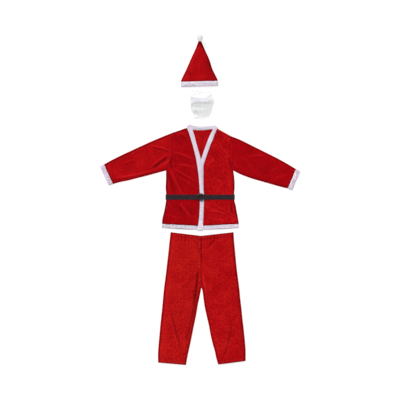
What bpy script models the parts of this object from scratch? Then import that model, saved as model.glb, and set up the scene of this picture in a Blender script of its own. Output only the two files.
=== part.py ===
"""A santa suit laid out flat: hat, beard, jacket with its belt, and trousers.

Metres, +Z up. The set lies on the floor at z = 0, seen from above with the head end at +Y.
The origin is at the middle of the laid-out set, on the floor.

Every piece of cloth is a closed wall. A piece that is a tube when worn (a sleeve, a leg, the hat)
is a flattened tube: its under layer lies on the floor, its upper layer lies just over that one.
Each garment is drawn in its own measures, from its own hem or edge, and then laid in its place.
"""

import random
from collections import namedtuple
from math import atan2, cos, hypot, pi, radians, sin

import bmesh
import bpy
from mathutils import Vector

# ---------------------------------------------------------------- cloth and how it lies
CLOTH = 0.0015          # velour
PLUSH = 0.0030          # white trim, pile and all
TAPE = 0.0015           # belt webbing
SEAM = 0.0003           # between two pieces at a seam
REST = 0.0003           # between a piece and what lies on it
FOLD = 0.0036           # height of a folded edge of velour: two walls and the air between
PLUSH_FOLD = 0.0066     # the same for plush
EASE = 0.045            # how far in from an edge the upper layer takes to reach its full height
LOFT = 0.0016           # how far the upper layer lifts there

# ---------------------------------------------------------------- where each garment lies
HAT_AT = (0.0, 0.846)
BEARD_AT = (0.011, 0.764)
JACKET_AT = (0.0, -0.224)
TROUSERS_AT = (0.0, -1.240)

# ---------------------------------------------------------------- colours, linear
VELOUR = ("red_velour", (0.42, 0.004, 0.010), 0.85)
WHITE_PLUSH = ("white_plush", (0.80, 0.78, 0.80), 0.95)
WHITE_HAIR = ("white_hair", (0.84, 0.83, 0.83), 0.90)
BLACK_TAPE = ("black_webbing", (0.035, 0.022, 0.028), 0.60)
BLACK_PLASTIC = ("black_plastic", (0.022, 0.023, 0.024), 0.35)
WHITE_ELASTIC = ("white_elastic", (0.75, 0.74, 0.74), 0.80)

Crease = namedtuple("Crease", "x0 y0 x1 y1 reach height")
Edges = namedtuple("Edges", "height left right")
Limb = namedtuple("Limb", "height outer inner")
Station = namedtuple("Station", "upper_x upper_y lower_x lower_y")

# ---------------------------------------------------------------- jacket, from the hem's bottom
# The wearer's right is at -X. The right front lies over the left one.
SIDES = (               # the body's side edges, and the armholes above the underarm
    Edges(0.044, -0.2860, 0.2910), Edges(0.088, -0.2810, 0.2850), Edges(0.133, -0.2700, 0.2760),
    Edges(0.185, -0.2600, 0.2670), Edges(0.217, -0.2550, 0.2580), Edges(0.272, -0.2540, 0.2560),
    Edges(0.310, -0.2575, 0.2595), Edges(0.373, -0.2550, 0.2585), Edges(0.444, -0.2535, 0.2490),
    Edges(0.463, -0.2430, 0.2400), Edges(0.484, -0.2310, 0.2310), Edges(0.508, -0.2210, 0.2250),
    Edges(0.536, -0.2155, 0.2210), Edges(0.570, -0.2145, 0.2190), Edges(0.608, -0.2145, 0.2205),
    Edges(0.660, -0.2150, 0.2260), Edges(0.703, -0.2158, 0.2310), Edges(0.724, -0.2160, 0.2330),
)
RIGHT_BAND = (          # front band on the right front: its outer and inner edge
    Edges(-0.008, -0.0165, 0.0225), Edges(0.030, -0.0140, 0.0210), Edges(0.080, -0.0075, 0.0235),
    Edges(0.148, -0.0030, 0.0265), Edges(0.188, -0.0015, 0.0280), Edges(0.245, -0.0015, 0.0285),
    Edges(0.305, -0.0030, 0.0255), Edges(0.373, -0.0075, 0.0220), Edges(0.433, -0.0135, 0.0180),
    Edges(0.490, -0.0220, 0.0120), Edges(0.540, -0.0310, 0.0020), Edges(0.621, -0.0510, -0.0210),
    Edges(0.707, -0.0765, -0.0435), Edges(0.760, -0.0960, -0.0600),
)
LEFT_BAND = (           # the same on the left front, with the inner edge first
    Edges(-0.004, -0.0070, 0.0210), Edges(0.030, -0.0060, 0.0205), Edges(0.080, -0.0050, 0.0230),
    Edges(0.148, -0.0030, 0.0262), Edges(0.188, -0.0010, 0.0278), Edges(0.245, -0.0010, 0.0283),
    Edges(0.305, -0.0020, 0.0268), Edges(0.373, -0.0030, 0.0260), Edges(0.433, -0.0030, 0.0260),
    Edges(0.482, -0.0020, 0.0270), Edges(0.526, 0.0085, 0.0400), Edges(0.546, 0.0160, 0.0470),
    Edges(0.624, 0.0415, 0.0740), Edges(0.700, 0.0720, 0.1050), Edges(0.760, 0.1010, 0.1290),
)
RIGHT_TIP = ((-0.0990, 0.7760), (-0.0670, 0.7940))
LEFT_TIP = ((0.1340, 0.7660), (0.1040, 0.7900))
HEM_BAND = 0.030        # depth of the plush round the hem
HEM_SIDE = 0.044        # the cloth's hem at the side seams
HEM_FRONT = 0.030       # and at the front bands, where it sags
BAND_SAG = 0.0045       # how far the lowest lines of the cloth sag there, below this height
SAG_RUN = 0.190
UNDERARM = 0.444
SHOULDER = {-1: 0.724, 1: 0.703}
SHOULDER_RUNS = (0.10, 0.12)    # from this far out, and over this length, the neck falls to the shoulder
HEM_LIFT = 0.0015       # how far the fronts rise over the hem's trim
HEM_LIFT_RUN = (0.085, 0.050)   # below this height, and over this length
OVER_HEM = (0.062, 0.026)       # where the back's trim begins to count as the top of the back
OVER_NECK = (0.705, 0.036)
BANDS_PART = (0.690, 0.130)     # below this height the right band climbs onto the left one
BAND_EASE = 0.090       # how wide a strip of each front slopes to its band
BAND_STEP = 0.0006      # the fronts' edges over the undersides of their bands
CROWN = 0.0005          # the right band's middle over its edges
NECK = 0.760            # the fronts' height beside the neck
BODY_STEPS = (0.085, 0.120, 0.155, 0.188, 0.217, 0.272, 0.300, 0.335, 0.372, 0.410)
ARM_STEPS = (0.0, 0.065, 0.143, 0.23, 0.33, 0.45, 0.585, 0.72, 0.86, 1.0)
BACK_ARM_STEPS = (0.0, 0.065, 0.143, 0.23, 0.33, 0.585, 1.0)
FRONT_COLUMNS = 10
BACK_COLUMNS = 8
NECK_EDGE = (           # the back's top edge: shoulder, neck and shoulder, left to right
    (-0.2160, 0.724), (-0.1560, 0.7440), (-0.0965, 0.7625), (-0.0500, 0.7495), (0.0070, 0.7465),
    (0.0700, 0.7515), (0.1275, 0.7570), (0.1800, 0.7300), (0.2310, 0.703),
)
NECK_BAND_TOP = (       # the back neck band's top edge, over the middle points of NECK_EDGE
    (-0.0760, 0.7850), (-0.0420, 0.7790), (0.0070, 0.7740), (0.0640, 0.7785), (0.1090, 0.7830),
)
NECK_BAND_ENDS = ((-0.0880, 0.7625), (0.1180, 0.7580))

JACKET_CREASES = (
    Crease(-0.364, 0.618, -0.060, 0.540, 0.034, 0.0042),
    Crease(-0.185, 0.535, -0.030, 0.470, 0.030, 0.0038),
    Crease(-0.350, 0.470, -0.205, 0.560, 0.032, -0.0012),
    Crease(-0.690, 0.410, -0.340, 0.440, 0.030, 0.0038),
    Crease(-0.222, 0.470, -0.135, 0.285, 0.028, 0.0040),
    Crease(-0.190, 0.450, -0.020, 0.340, 0.034, 0.0036),
    Crease(-0.140, 0.200, -0.050, 0.060, 0.036, 0.0036),
    Crease(-0.210, 0.190, -0.150, 0.105, 0.028, -0.0012),
    Crease(0.205, 0.580, 0.245, 0.500, 0.030, -0.0012),
    Crease(0.300, 0.560, 0.500, 0.575, 0.034, 0.0040),
    Crease(0.340, 0.480, 0.430, 0.395, 0.030, 0.0036),
    Crease(0.200, 0.440, 0.090, 0.330, 0.036, 0.0036),
    Crease(0.235, 0.200, 0.248, 0.100, 0.024, -0.0012),
    Crease(0.050, 0.155, 0.200, 0.065, 0.034, 0.0036),
    Crease(0.520, 0.520, 0.660, 0.400, 0.034, 0.0030),
)

# ---------------------------------------------------------------- sleeves, in the jacket's measures
SLEEVES = {
    -1: (
        Station(-0.2775, 0.6992, -0.3110, 0.4285), Station(-0.3675, 0.6612, -0.3940, 0.4058),
        Station(-0.4575, 0.6200, -0.4725, 0.3860), Station(-0.5475, 0.5785, -0.5400, 0.3685),
        Station(-0.6375, 0.5355, -0.6000, 0.3565), Station(-0.7210, 0.4900, -0.6535, 0.3415),
    ),
    1: (
        Station(0.3000, 0.6755, 0.3075, 0.4135), Station(0.3900, 0.6310, 0.3900, 0.3830),
        Station(0.4725, 0.5900, 0.4650, 0.3613), Station(0.5625, 0.5450, 0.5325, 0.3418),
        Station(0.6450, 0.5005, 0.6000, 0.3225), Station(0.7210, 0.4550, 0.6590, 0.3085),
    ),
}
CUFF_END = {-1: Station(-0.7510, 0.4760, -0.6835, 0.3325), 1: Station(0.7525, 0.4425, 0.6910, 0.2965)}
SLEEVE_ROWS = 12
BOW_FADES = 0.30        # the part of the sleeve over which the armhole's curve dies out

# ---------------------------------------------------------------- belt, in the jacket's measures
Hump = namedtuple("Hump", "flat run")
BELT_HEIGHT = 0.2445
BELT_WIDTH = 0.0375
BELT_SLACK = 0.0045     # the loop's folds stand this far outside the jacket's sides
BELT_REST = 0.0005      # between the belt and the jacket's front
STIFFNESS = 0.012       # the belt rides over what is highest within this distance
CINCH = ((0.188, 0.0), (0.217, 1.0), (0.272, 1.0), (0.300, 0.0))
CINCHED_PLUSH = 0.0020  # what the belt leaves of the plush's thickness
BUCKLE_X = 0.005
BUCKLE_RING = 0.0240    # to the middle of the ring's rim
BUCKLE_RIM = 0.0036     # half of the rim's width
BUCKLE_DEEP = 0.0030    # half of its depth
BAR_WIDE = 0.0050
BAR_DEEP = 0.0022
KEEPER_WALL = 0.0010
KEEPER_WIDE = 0.0080
KEEPER_LOW = 0.0001     # the thin lower run lies this close to the jacket
KEEPERS = {"right": -0.033, "left": 0.051}
BAR_HUMP = Hump(0.0033, 0.0045)         # half its flat top, and how long each of its slopes is
KEEPER_HUMP = Hump(0.0050, 0.0080)
BELT_ENDS = 0.235       # the last corners of the belt's upper run
BELT_STEP = 0.0235
RAIL_GAP = 0.0011       # from the belt's edge to the posts that carry the buckle's bar
POST_SLOPE = 0.0006
RING_STEPS = 24
RING_SIDES = 8

# ---------------------------------------------------------------- trousers, from the hem's bottom
LEGS = {
    -1: (               # height, outer edge, inner edge; above the crotch that is the centre seam
        Limb(0.0015, -0.3140, -0.1050), Limb(0.0750, -0.3158, -0.0920), Limb(0.1425, -0.3122, -0.0770),
        Limb(0.2250, -0.3045, -0.0600), Limb(0.3000, -0.2980, -0.0450), Limb(0.3750, -0.2898, -0.0295),
        Limb(0.4650, -0.2807, -0.0140), Limb(0.5250, -0.2755, -0.0010), Limb(0.5625, -0.2717, 0.0060),
        Limb(0.5850, -0.2693, 0.0100), Limb(0.6825, -0.2565, 0.0090), Limb(0.8025, -0.2425, 0.0075),
        Limb(0.8625, -0.2359, 0.0075), Limb(0.9375, -0.2280, 0.0075), Limb(1.0000, -0.2205, 0.0075),
    ),
    1: (
        Limb(0.0015, 0.3410, 0.1375), Limb(0.0450, 0.3425, 0.1240), Limb(0.1125, 0.3425, 0.1090),
        Limb(0.1575, 0.3395, 0.0957), Limb(0.2250, 0.3331, 0.0797), Limb(0.3000, 0.3248, 0.0660),
        Limb(0.3600, 0.3180, 0.0519), Limb(0.4350, 0.3100, 0.0355), Limb(0.4950, 0.3031, 0.0266),
        Limb(0.5625, 0.2966, 0.0175), Limb(0.5850, 0.2942, 0.0100), Limb(0.7275, 0.2758, 0.0090),
        Limb(0.8625, 0.2625, 0.0075), Limb(0.9375, 0.2556, 0.0075), Limb(1.0000, 0.2520, 0.0075),
    ),
}
HEM_RISE = {-1: 0.020, 1: 0.0315}       # the hem's outer corner; its inner one is near zero
HEM_INNER = {-1: 0.0015, 1: 0.0050}
LEVEL_KNEE = 0.2        # what is left, half way down, of the slope that the waist and the hem have
WAIST_SIDE = 0.998
WAIST_FRONT = 0.9705
CROTCH = 0.585
FORK_STEPS = (0.93, 0.88, 0.83, 0.775, 0.72, 0.67, 0.625)
LEG_STEPS = (0.56, 0.525, 0.475, 0.42, 0.365, 0.31, 0.255, 0.20, 0.15, 0.10, 0.05)
LEG_TOPS = 8            # columns of the upper layer

TROUSER_CREASES = (
    Crease(-0.060, 0.955, -0.015, 0.860, 0.030, 0.0036),
    Crease(0.105, 0.950, 0.055, 0.850, 0.030, 0.0036),
    Crease(0.125, 0.900, 0.070, 0.800, 0.030, 0.0028),
    Crease(-0.030, 0.690, -0.060, 0.380, 0.034, -0.0013),
    Crease(0.030, 0.700, 0.060, 0.510, 0.030, 0.0030),
    Crease(-0.235, 0.420, -0.120, 0.090, 0.034, 0.0040),
    Crease(0.200, 0.400, 0.225, 0.150, 0.030, -0.0013),
    Crease(0.165, 0.420, 0.190, 0.080, 0.034, 0.0036),
    Crease(0.255, 0.390, 0.250, 0.180, 0.030, 0.0030),
    Crease(-0.190, 0.900, -0.150, 0.640, 0.034, 0.0024),
)

# ---------------------------------------------------------------- hat, from its band's bottom
HAT_EDGES = (
    Edges(0.000, -0.1410, 0.1335), Edges(0.0375, -0.1425, 0.1350), Edges(0.050, -0.1420, 0.1320),
    Edges(0.1275, -0.1050, 0.0945), Edges(0.2025, -0.0720, 0.0705), Edges(0.2925, -0.0310, 0.0305),
    Edges(0.330, -0.0165, 0.0145), Edges(0.3450, -0.0110, 0.0090), Edges(0.3605, -0.0065, 0.0055),
)
HAT_SKEW = 0.0085       # how much further up the right end of the brim lies than the left one
HAT_BAND = 0.0375
HAT_TIP = 0.3585
HAT_ROWS = 11
TIP_RISES_FROM = 0.300
TIP_LIFT = 0.0155       # the tip's height over the floor, where it is sewn to the pompom
HAT_CREASES = (Crease(-0.105, 0.150, -0.050, 0.070, 0.030, 0.0034),
               Crease(0.020, 0.250, 0.070, 0.060, 0.034, 0.0030))
POMPOM = (0.0, 0.3675, 0.0238)
POMPOM_REACH = 0.0236
POMPOM_CORE = 0.0100
POMPOM_BARE = 42        # degrees round the hat's tip that carry no yarn
YARN_STEPS = ((0.50, 1.30), (0.85, 1.55), (1.00, 0.85))     # share of the way out, width to its root's

# ---------------------------------------------------------------- beard, from the mouth's middle
TOP_EDGE = ((-0.083, 0.013), (-0.049, 0.004), (-0.011, 0.0015), (0.024, 0.000), (0.049, 0.014),
            (0.0735, 0.034))
TIPS = ((-0.083, -0.060), (-0.066, -0.112), (-0.050, -0.128), (-0.020, -0.150), (-0.004, -0.163),
        (0.004, -0.183), (0.0165, -0.160), (0.0285, -0.165), (0.054, -0.150), (0.0735, -0.125),
        (0.090, -0.060))
HairRow = namedtuple("HairRow", "name drop left right locks longest layer")
HAIR_ROWS = (
    HairRow("chin", -0.090, -0.066, 0.076, 19, 0.100, 0),
    HairRow("lower", -0.061, -0.077, 0.084, 24, 0.060, 1),
    HairRow("middle", -0.031, -0.083, 0.092, 27, 0.060, 1.85),
    HairRow("top", 0.000, -0.083, 0.0735, 25, 0.058, 2.3),
)
STRIP_WIDE = 0.0060
STRIP_DEEP = 0.0024
LOCK_WIDE = (0.44, 0.22)        # half a lock's width at its root and tip, to the step between locks
LOCK_DEEP = (0.0011, 0.0006)    # half its depth at its root and tip
LOCK_FAN = 0.10         # how far the side locks lean inwards, to their distance from the middle
LOCK_SWAY = 0.0020
LOCK_STEPS = 3
LAYER = 0.0022          # each row of hair lies this much over the one below it
LAYER_RUN = 0.018       # and takes this long to get there
CURL_LOCK = 1           # the chin's second lock runs down and curls round
CURL_DROP = 0.033
CURL_RADIUS = 0.0175
CURL_STEPS = 14
CURL_HALF = (0.0026, 0.0014)    # half the curl's width at its root and tip
OVER_CURL = (5, 0.017)  # how many locks end over it, and their length
MOUSTACHE_LOCKS = 18
MOUSTACHE = (-0.058, 0.060)     # its two ends
MOUSTACHE_FAN = 52      # degrees that its outermost locks turn outwards
MOUSTACHE_LONG = (0.028, 0.038)     # its middle and its outermost locks
MOUSTACHE_CLIMB = 0.15  # how much its locks rise, over the top row's, for their length

ELASTIC = 0.0012        # diameter
ELASTIC_ROUTE = ((-0.0845, 0.0130), (-0.079, 0.0165), (-0.051, 0.0250), (-0.0315, 0.0290),
                 (-0.0135, 0.0375), (-0.002, 0.0415), (0.020, 0.0425), (0.047, 0.0435),
                 (0.066, 0.0420), (0.0745, 0.0350))
TAIL_ROUTE = ((-0.0118, 0.0409), (-0.030, 0.0470), (-0.051, 0.0490), (-0.062, 0.0530),
              (-0.0710, 0.0590))
KNOT = (-0.011, 0.0400)
KNOT_SIZE = 0.0026
KNOT_END = 0.022        # the knot's short cut end


# ---------------------------------------------------------------- small sums
def clamp(value, low=0.0, high=1.0):
    return max(low, min(high, value))


def soft(value):
    """0 to 1, level at both ends."""
    value = clamp(value)
    return value * value * (3 - 2 * value)


def mix(a, b, share):
    return a + (b - a) * share


def read(rows, at, key, value):
    """The value at a place in a table, straight between its rows."""
    for before, after in zip(rows, rows[1:]):
        if at <= key(after):
            break
    share = clamp((at - key(before)) / (key(after) - key(before)))
    return mix(value(before), value(after), share)


def edge_at(table, height, side):
    """An outline's left or right edge at a height."""
    return read(table, height, lambda row: row.height, lambda row: getattr(row, side))


def line_at(points, at):
    """The second number of a line of pairs, where the first one is at."""
    return read(points, at, lambda row: row[0], lambda row: row[1])


def path_at(points, share):
    """A place along a line of points, by its share of their number."""
    where = clamp(share) * (len(points) - 1)
    index = min(int(where), len(points) - 2)
    return Vector(points[index]).lerp(Vector(points[index + 1]), where - index)


def relief(creases, x, y):
    """How far the creases lift the cloth here. Each is a soft ridge that dies out at both ends."""
    lift = 0.0
    for crease in creases:
        run_x, run_y = crease.x1 - crease.x0, crease.y1 - crease.y0
        along = ((x - crease.x0) * run_x + (y - crease.y0) * run_y) / (run_x**2 + run_y**2)
        if not 0.0 < along < 1.0:
            continue
        away = hypot(x - crease.x0 - along * run_x, y - crease.y0 - along * run_y) / crease.reach
        if away < 1.0:
            lift += crease.height * (1 - away**2) ** 2 * soft(4 * along) * soft(4 - 4 * along)
    return lift


# ---------------------------------------------------------------- making solids
def material(look):
    name, colour, roughness = look
    made = bpy.data.materials.get(name) or bpy.data.materials.new(name)
    made.use_nodes = True
    shader = made.node_tree.nodes["Principled BSDF"]
    shader.inputs["Base Color"].default_value = (*colour, 1.0)
    shader.inputs["Roughness"].default_value = roughness
    made.diffuse_color = (*colour, 1.0)
    return made


def garment(name, at):
    """The empty that carries a garment's pieces."""
    empty = bpy.data.objects.new(name, None)
    empty.location = (*at, 0.0)
    bpy.context.collection.objects.link(empty)
    return empty


def finish(name, mesh, look, parent):
    """Turns a bmesh into a named piece, with its faces pointing out."""
    if mesh.calc_volume(signed=True) < 0:
        bmesh.ops.reverse_faces(mesh, faces=mesh.faces)
    data = bpy.data.meshes.new(name)
    mesh.to_mesh(data)
    mesh.free()
    data.shade_smooth()
    data.set_sharp_from_angle(angle=radians(50))
    data.materials.append(material(look))
    piece = bpy.data.objects.new(name, data)
    piece.parent = parent
    bpy.context.collection.objects.link(piece)
    return piece


def cloth(name, columns, rows, place, look, parent, closed_rows=0):
    """A wall of cloth: a grid, thickened, whose corners go where place(column, row, depth) says.

    depth is 0 on its outer face and 1 on its inner one. In the first closed_rows + 1 lines of
    corners the two side edges are sewn to each other, which makes that stretch a tube.
    """
    mesh = bmesh.new()
    step = mesh.verts.layers.int.new("step")
    bmesh.ops.create_grid(mesh, x_segments=columns, y_segments=rows, size=0.5)
    lines = {}
    for vert in mesh.verts:
        lines[round((vert.co.x + 0.5) * columns), round((vert.co.y + 0.5) * rows)] = vert
    if closed_rows:
        sewn = {lines.pop((columns, row)): lines[0, row] for row in range(closed_rows + 1)}
        bmesh.ops.weld_verts(mesh, targetmap=sewn)
    for (column, row), vert in lines.items():
        vert[step] = column + row * (columns + 1)
    made = bmesh.ops.extrude_face_region(mesh, geom=mesh.faces[:])["geom"]
    inner = {part for part in made if isinstance(part, bmesh.types.BMVert)}
    for vert in mesh.verts:
        row, column = divmod(vert[step], columns + 1)
        vert.co = place(column, row, 1 if vert in inner else 0)
    return finish(name, mesh, look, parent)


Lay = namedtuple("Lay", "thick fold creases floor lift", defaults=((), lambda x, y: 0.0, LOFT))


def flat_tube(name, point, rows, tops, lows, lay, look, parent, closed_rows=None):
    """A tube that lies flat. point(row, share) is a place between its two edges, 0 to 1 across.

    tops and lows are the shares at which the upper and the under layer have corners. Rows past
    closed_rows are open along the first edge, where the two layers end at another piece's seam.
    """
    closed_rows = rows if closed_rows is None else closed_rows
    ring = [("near", 0)] + [("near", -90)] + [("low", share) for share in lows]
    ring += [("far", -90), ("far", 0), ("far", 90)]
    ring += [("top", share) for share in reversed(tops)] + [("near", 90), ("near", 0)]
    radius = lay.fold / 2

    def place(column, row, depth):
        kind, value = ring[column]
        inset = depth * lay.thick
        first, last = Vector(point(row, 0.0)), Vector(point(row, 1.0))
        width = (last - first).length
        open_here = row > closed_rows
        upper = kind == "top"
        share = value if kind in ("top", "low") else 0.0
        if kind in ("near", "far") and not (open_here and kind == "near"):
            turn = radians(value)
            back = (radius - (radius - inset) * cos(turn)) / width
            x, y = point(row, back if kind == "near" else 1 - back)
            return Vector((x, y, lay.floor(x, y) + radius + (radius - inset) * sin(turn)))
        if kind == "near":
            upper = value == 90 or (value == 0 and column > 0)
            share = radius / width if value else 0.0
        x, y = point(row, share)
        if not upper:
            return Vector((x, y, lay.floor(x, y) + inset))
        from_edge = (1 - share) * width if open_here else min(share, 1 - share) * width
        full = soft((from_edge - radius) / EASE)
        height = lay.fold + full * (lay.lift + relief(lay.creases, x, y))
        return Vector((x, y, lay.floor(x, y) + height - inset))

    return cloth(name, len(ring) - 1, rows, place, look, parent, closed_rows)


def shares(count):
    """Even steps between 0 and 1, without the ends."""
    return [step / count for step in range(1, count)]


def tube_path(name, route, diameter, look, parent, step):
    """A thin round cord that lies on the floor along a smooth curve through the route."""
    points = [Vector((x, y, diameter / 2 + 0.00005)) for x, y in route]
    places = smooth_line(points, step)
    curve = bpy.data.curves.new(name, "CURVE")
    curve.dimensions = "3D"
    curve.bevel_depth = diameter / 2
    curve.bevel_resolution = 2
    curve.use_fill_caps = True
    spline = curve.splines.new("POLY")
    spline.points.add(len(places) - 1)
    for dot, place in zip(spline.points, places):
        dot.co = (*place, 1.0)
    curve.materials.append(material(look))
    piece = bpy.data.objects.new(name, curve)
    piece.parent = parent
    bpy.context.collection.objects.link(piece)
    return piece


def smooth_line(points, step):
    """Points about a step apart on a smooth curve through the given ones."""
    ends = [2 * points[0] - points[1], *points, 2 * points[-1] - points[-2]]
    fine = []
    for before, start, stop, after in zip(ends, ends[1:], ends[2:], ends[3:]):
        for part in range(16):
            t = part / 16
            fine.append(0.5 * (2 * start + (stop - before) * t
                               + (2 * before - 5 * start + 4 * stop - after) * t * t
                               + (3 * start - before - 3 * stop + after) * t**3))
    fine.append(points[-1])
    lengths = [0.0]
    for before, after in zip(fine, fine[1:]):
        lengths.append(lengths[-1] + (after - before).length)
    count = max(2, round(lengths[-1] / step))
    places, index = [], 0
    for part in range(count + 1):
        wanted = lengths[-1] * part / count
        while index < len(fine) - 2 and lengths[index + 1] < wanted:
            index += 1
        share = (wanted - lengths[index]) / (lengths[index + 1] - lengths[index])
        places.append(fine[index].lerp(fine[index + 1], clamp(share)))
    return places


def grow_lock(mesh, face, centre, wide, deep, steps):
    """Draws a lock of hair out of a face. centre, wide and deep give its middle and its half sizes."""
    middle = face.calc_center_median()
    corners = [(1 if vert.co.x > middle.x else -1, 1 if vert.co.z > middle.z else -1)
               for vert in face.verts]
    for step in range(1, steps + 1):
        along = step / steps
        here, ahead = centre(along), centre(along + 0.01)
        heading = atan2(ahead.y - here.y, ahead.x - here.x)
        sideways = Vector((-sin(heading), cos(heading), 0.0))
        face = bmesh.ops.extrude_discrete_faces(mesh, faces=[face])["faces"][0]
        for vert, (side, level) in zip(face.verts, corners):
            vert.co = here + sideways * side * wide(along) + Vector((0, 0, level * deep(along)))


# ---------------------------------------------------------------- hat
def hat_point(height_of):
    def point(row, share):
        height = height_of(row)
        skew = HAT_SKEW * clamp(1 - height / HAT_TIP)
        left, right = edge_at(HAT_EDGES, height, "left"), edge_at(HAT_EDGES, height, "right")
        return mix(left, right, share), height + skew * share
    return point


def hat_floor(x, y):
    return TIP_LIFT * soft((y - TIP_RISES_FROM) / (HAT_TIP - TIP_RISES_FROM))


def make_hat():
    parent = garment("hat", HAT_AT)
    tops = shares(8)
    lows = shares(3)
    low_end = HAT_BAND + SEAM
    flat_tube("hat_cone", hat_point(lambda row: mix(low_end, HAT_TIP, row / HAT_ROWS)), HAT_ROWS, tops, lows,
              Lay(CLOTH, FOLD, HAT_CREASES, hat_floor), VELOUR, parent)
    flat_tube("hat_band", hat_point(lambda row: HAT_BAND * row / 2), 2, tops, lows,
              Lay(PLUSH, PLUSH_FOLD), WHITE_PLUSH, parent)
    make_pompom(parent)


def make_pompom(parent):
    """A ball of yarn ends round a core, with the side where the hat's tip is sewn left bare."""
    chance = random.Random(4)
    middle = Vector(POMPOM)
    to_tip = Vector((0.0, -0.80, -0.60))
    mesh = bmesh.new()
    bmesh.ops.create_icosphere(mesh, subdivisions=2, radius=POMPOM_CORE)
    bmesh.ops.translate(mesh, verts=mesh.verts, vec=middle)
    for face in mesh.faces[:]:
        heading = (face.calc_center_median() - middle).normalized()
        if heading.angle(to_tip) < radians(POMPOM_BARE):
            continue
        reach = POMPOM_REACH * chance.uniform(0.93, 1.0)
        root = face.calc_center_median()
        corners = [vert.co - root for vert in face.verts]
        for share, width in YARN_STEPS:
            face = bmesh.ops.extrude_discrete_faces(mesh, faces=[face])["faces"][0]
            centre = middle + heading * mix(POMPOM_CORE, reach, share)
            for vert, corner in zip(face.verts, corners):
                vert.co = centre + corner * width
    finish("hat_pompom", mesh, WHITE_PLUSH, parent)


# ---------------------------------------------------------------- beard
def strip_line(row, x):
    """Where a row's backing strip runs: along the mouth's edge, straighter further down."""
    return row.drop + line_at(TOP_EDGE, x) * (1 + row.drop / 0.12) - STRIP_WIDE


def backing(columns, line, wide, low):
    """A narrow strip for hair to hang from, and the faces of its lower side, left to right."""
    mesh = bmesh.new()
    column_of = mesh.verts.layers.int.new("column")
    bmesh.ops.create_grid(mesh, x_segments=columns, y_segments=1, size=0.5)
    for vert in mesh.verts:
        vert[column_of] = round((vert.co.x + 0.5) * columns)
    made = bmesh.ops.extrude_face_region(mesh, geom=mesh.faces[:])["geom"]
    under = {part for part in made if isinstance(part, bmesh.types.BMVert)}
    near = {vert for vert in mesh.verts if vert.co.y < 0}
    for vert in mesh.verts:
        x, y = line(vert[column_of] / columns)
        vert.co = Vector((x, y if vert in near else y + wide, low if vert in under else low + STRIP_DEEP))
    fronts = [face for face in mesh.faces if all(vert in near for vert in face.verts)]
    return mesh, sorted(fronts, key=lambda face: face.calc_center_median().x)


def deep(share):
    """Half a lock's depth, from its root to its tip."""
    return mix(*LOCK_DEEP, share)


def make_hair_row(row, parent):
    """A narrow backing strip with its locks drawn out of its lower side."""
    chance = random.Random(row.name)

    def line(share):
        x = mix(row.left, row.right, share)
        return x, strip_line(row, x)

    mesh, fronts = backing(row.locks, line, STRIP_WIDE, 0.0)
    pitch = (row.right - row.left) / row.locks
    for index, face in enumerate(fronts):
        root = face.calc_center_median()
        length = min(row.longest, root.y - line_at(TIPS, root.x)) * chance.uniform(0.93, 1.0)
        if row.name == "chin" and index == CURL_LOCK:
            grow_lock(mesh, face, curl_centre(root), lambda t: mix(*CURL_HALF, t), deep, CURL_STEPS)
            continue
        if row.name == "chin" and CURL_LOCK < index <= CURL_LOCK + OVER_CURL[0]:
            length = OVER_CURL[1]
        spread = root.x * LOCK_FAN
        phase = chance.uniform(-0.3, 0.3) + root.x * 30

        def centre(t, root=root, length=length, spread=spread, phase=phase):
            run = t * length
            sway = LOCK_SWAY * sin(5 * t + phase) * t
            rise = LAYER * min(run / LAYER_RUN, row.layer)
            return Vector((root.x - spread * t + sway, root.y - run, root.z + 0.0002 + rise))

        grow_lock(mesh, face, centre, lambda t: pitch * mix(*LOCK_WIDE, t * t), deep, LOCK_STEPS)
    finish("beard_row_" + row.name, mesh, WHITE_HAIR, parent)


def curl_centre(root):
    """One lock of the chin that runs down and turns almost all the way round."""
    def centre(t):
        run = t * (CURL_DROP + 2 * pi * CURL_RADIUS * 0.80)
        if run < CURL_DROP:
            return Vector((root.x, root.y - run, root.z + 0.0002))
        turn = (run - CURL_DROP) / CURL_RADIUS
        tight = CURL_RADIUS * (1 - 0.05 * turn)
        middle = Vector((root.x + CURL_RADIUS, root.y - CURL_DROP, root.z + 0.0002))
        return middle + Vector((-cos(turn) * tight, -sin(turn) * tight, 0.0))
    return centre


def make_moustache(parent):
    """Two bunches that fan out from the middle of the upper lip, over the top row."""
    def line(share):
        x = mix(*MOUSTACHE, share)
        return x, line_at(TOP_EDGE, x) - STRIP_WIDE + 0.0005

    mesh, fronts = backing(MOUSTACHE_LOCKS, line, STRIP_WIDE - 0.001, STRIP_DEEP + REST)
    pitch = (MOUSTACHE[1] - MOUSTACHE[0]) / MOUSTACHE_LOCKS
    for index, face in enumerate(fronts):
        root = face.calc_center_median()
        out = (index + 0.5) / MOUSTACHE_LOCKS * 2 - 1
        heading = -pi / 2 + out * radians(MOUSTACHE_FAN)
        length = mix(*MOUSTACHE_LONG, abs(out))

        def centre(t, root=root, heading=heading, length=length, out=out):
            run = t * length
            droop = -0.25 * out * t
            way = Vector((cos(heading + droop), sin(heading + droop), 0.0))
            return root + way * run + Vector((0, 0, 0.0005 * soft(run / 0.006) + MOUSTACHE_CLIMB * run))

        grow_lock(mesh, face, centre, lambda t: pitch * mix(*LOCK_WIDE, t * t), deep, LOCK_STEPS)
    finish("beard_moustache", mesh, WHITE_HAIR, parent)


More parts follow.
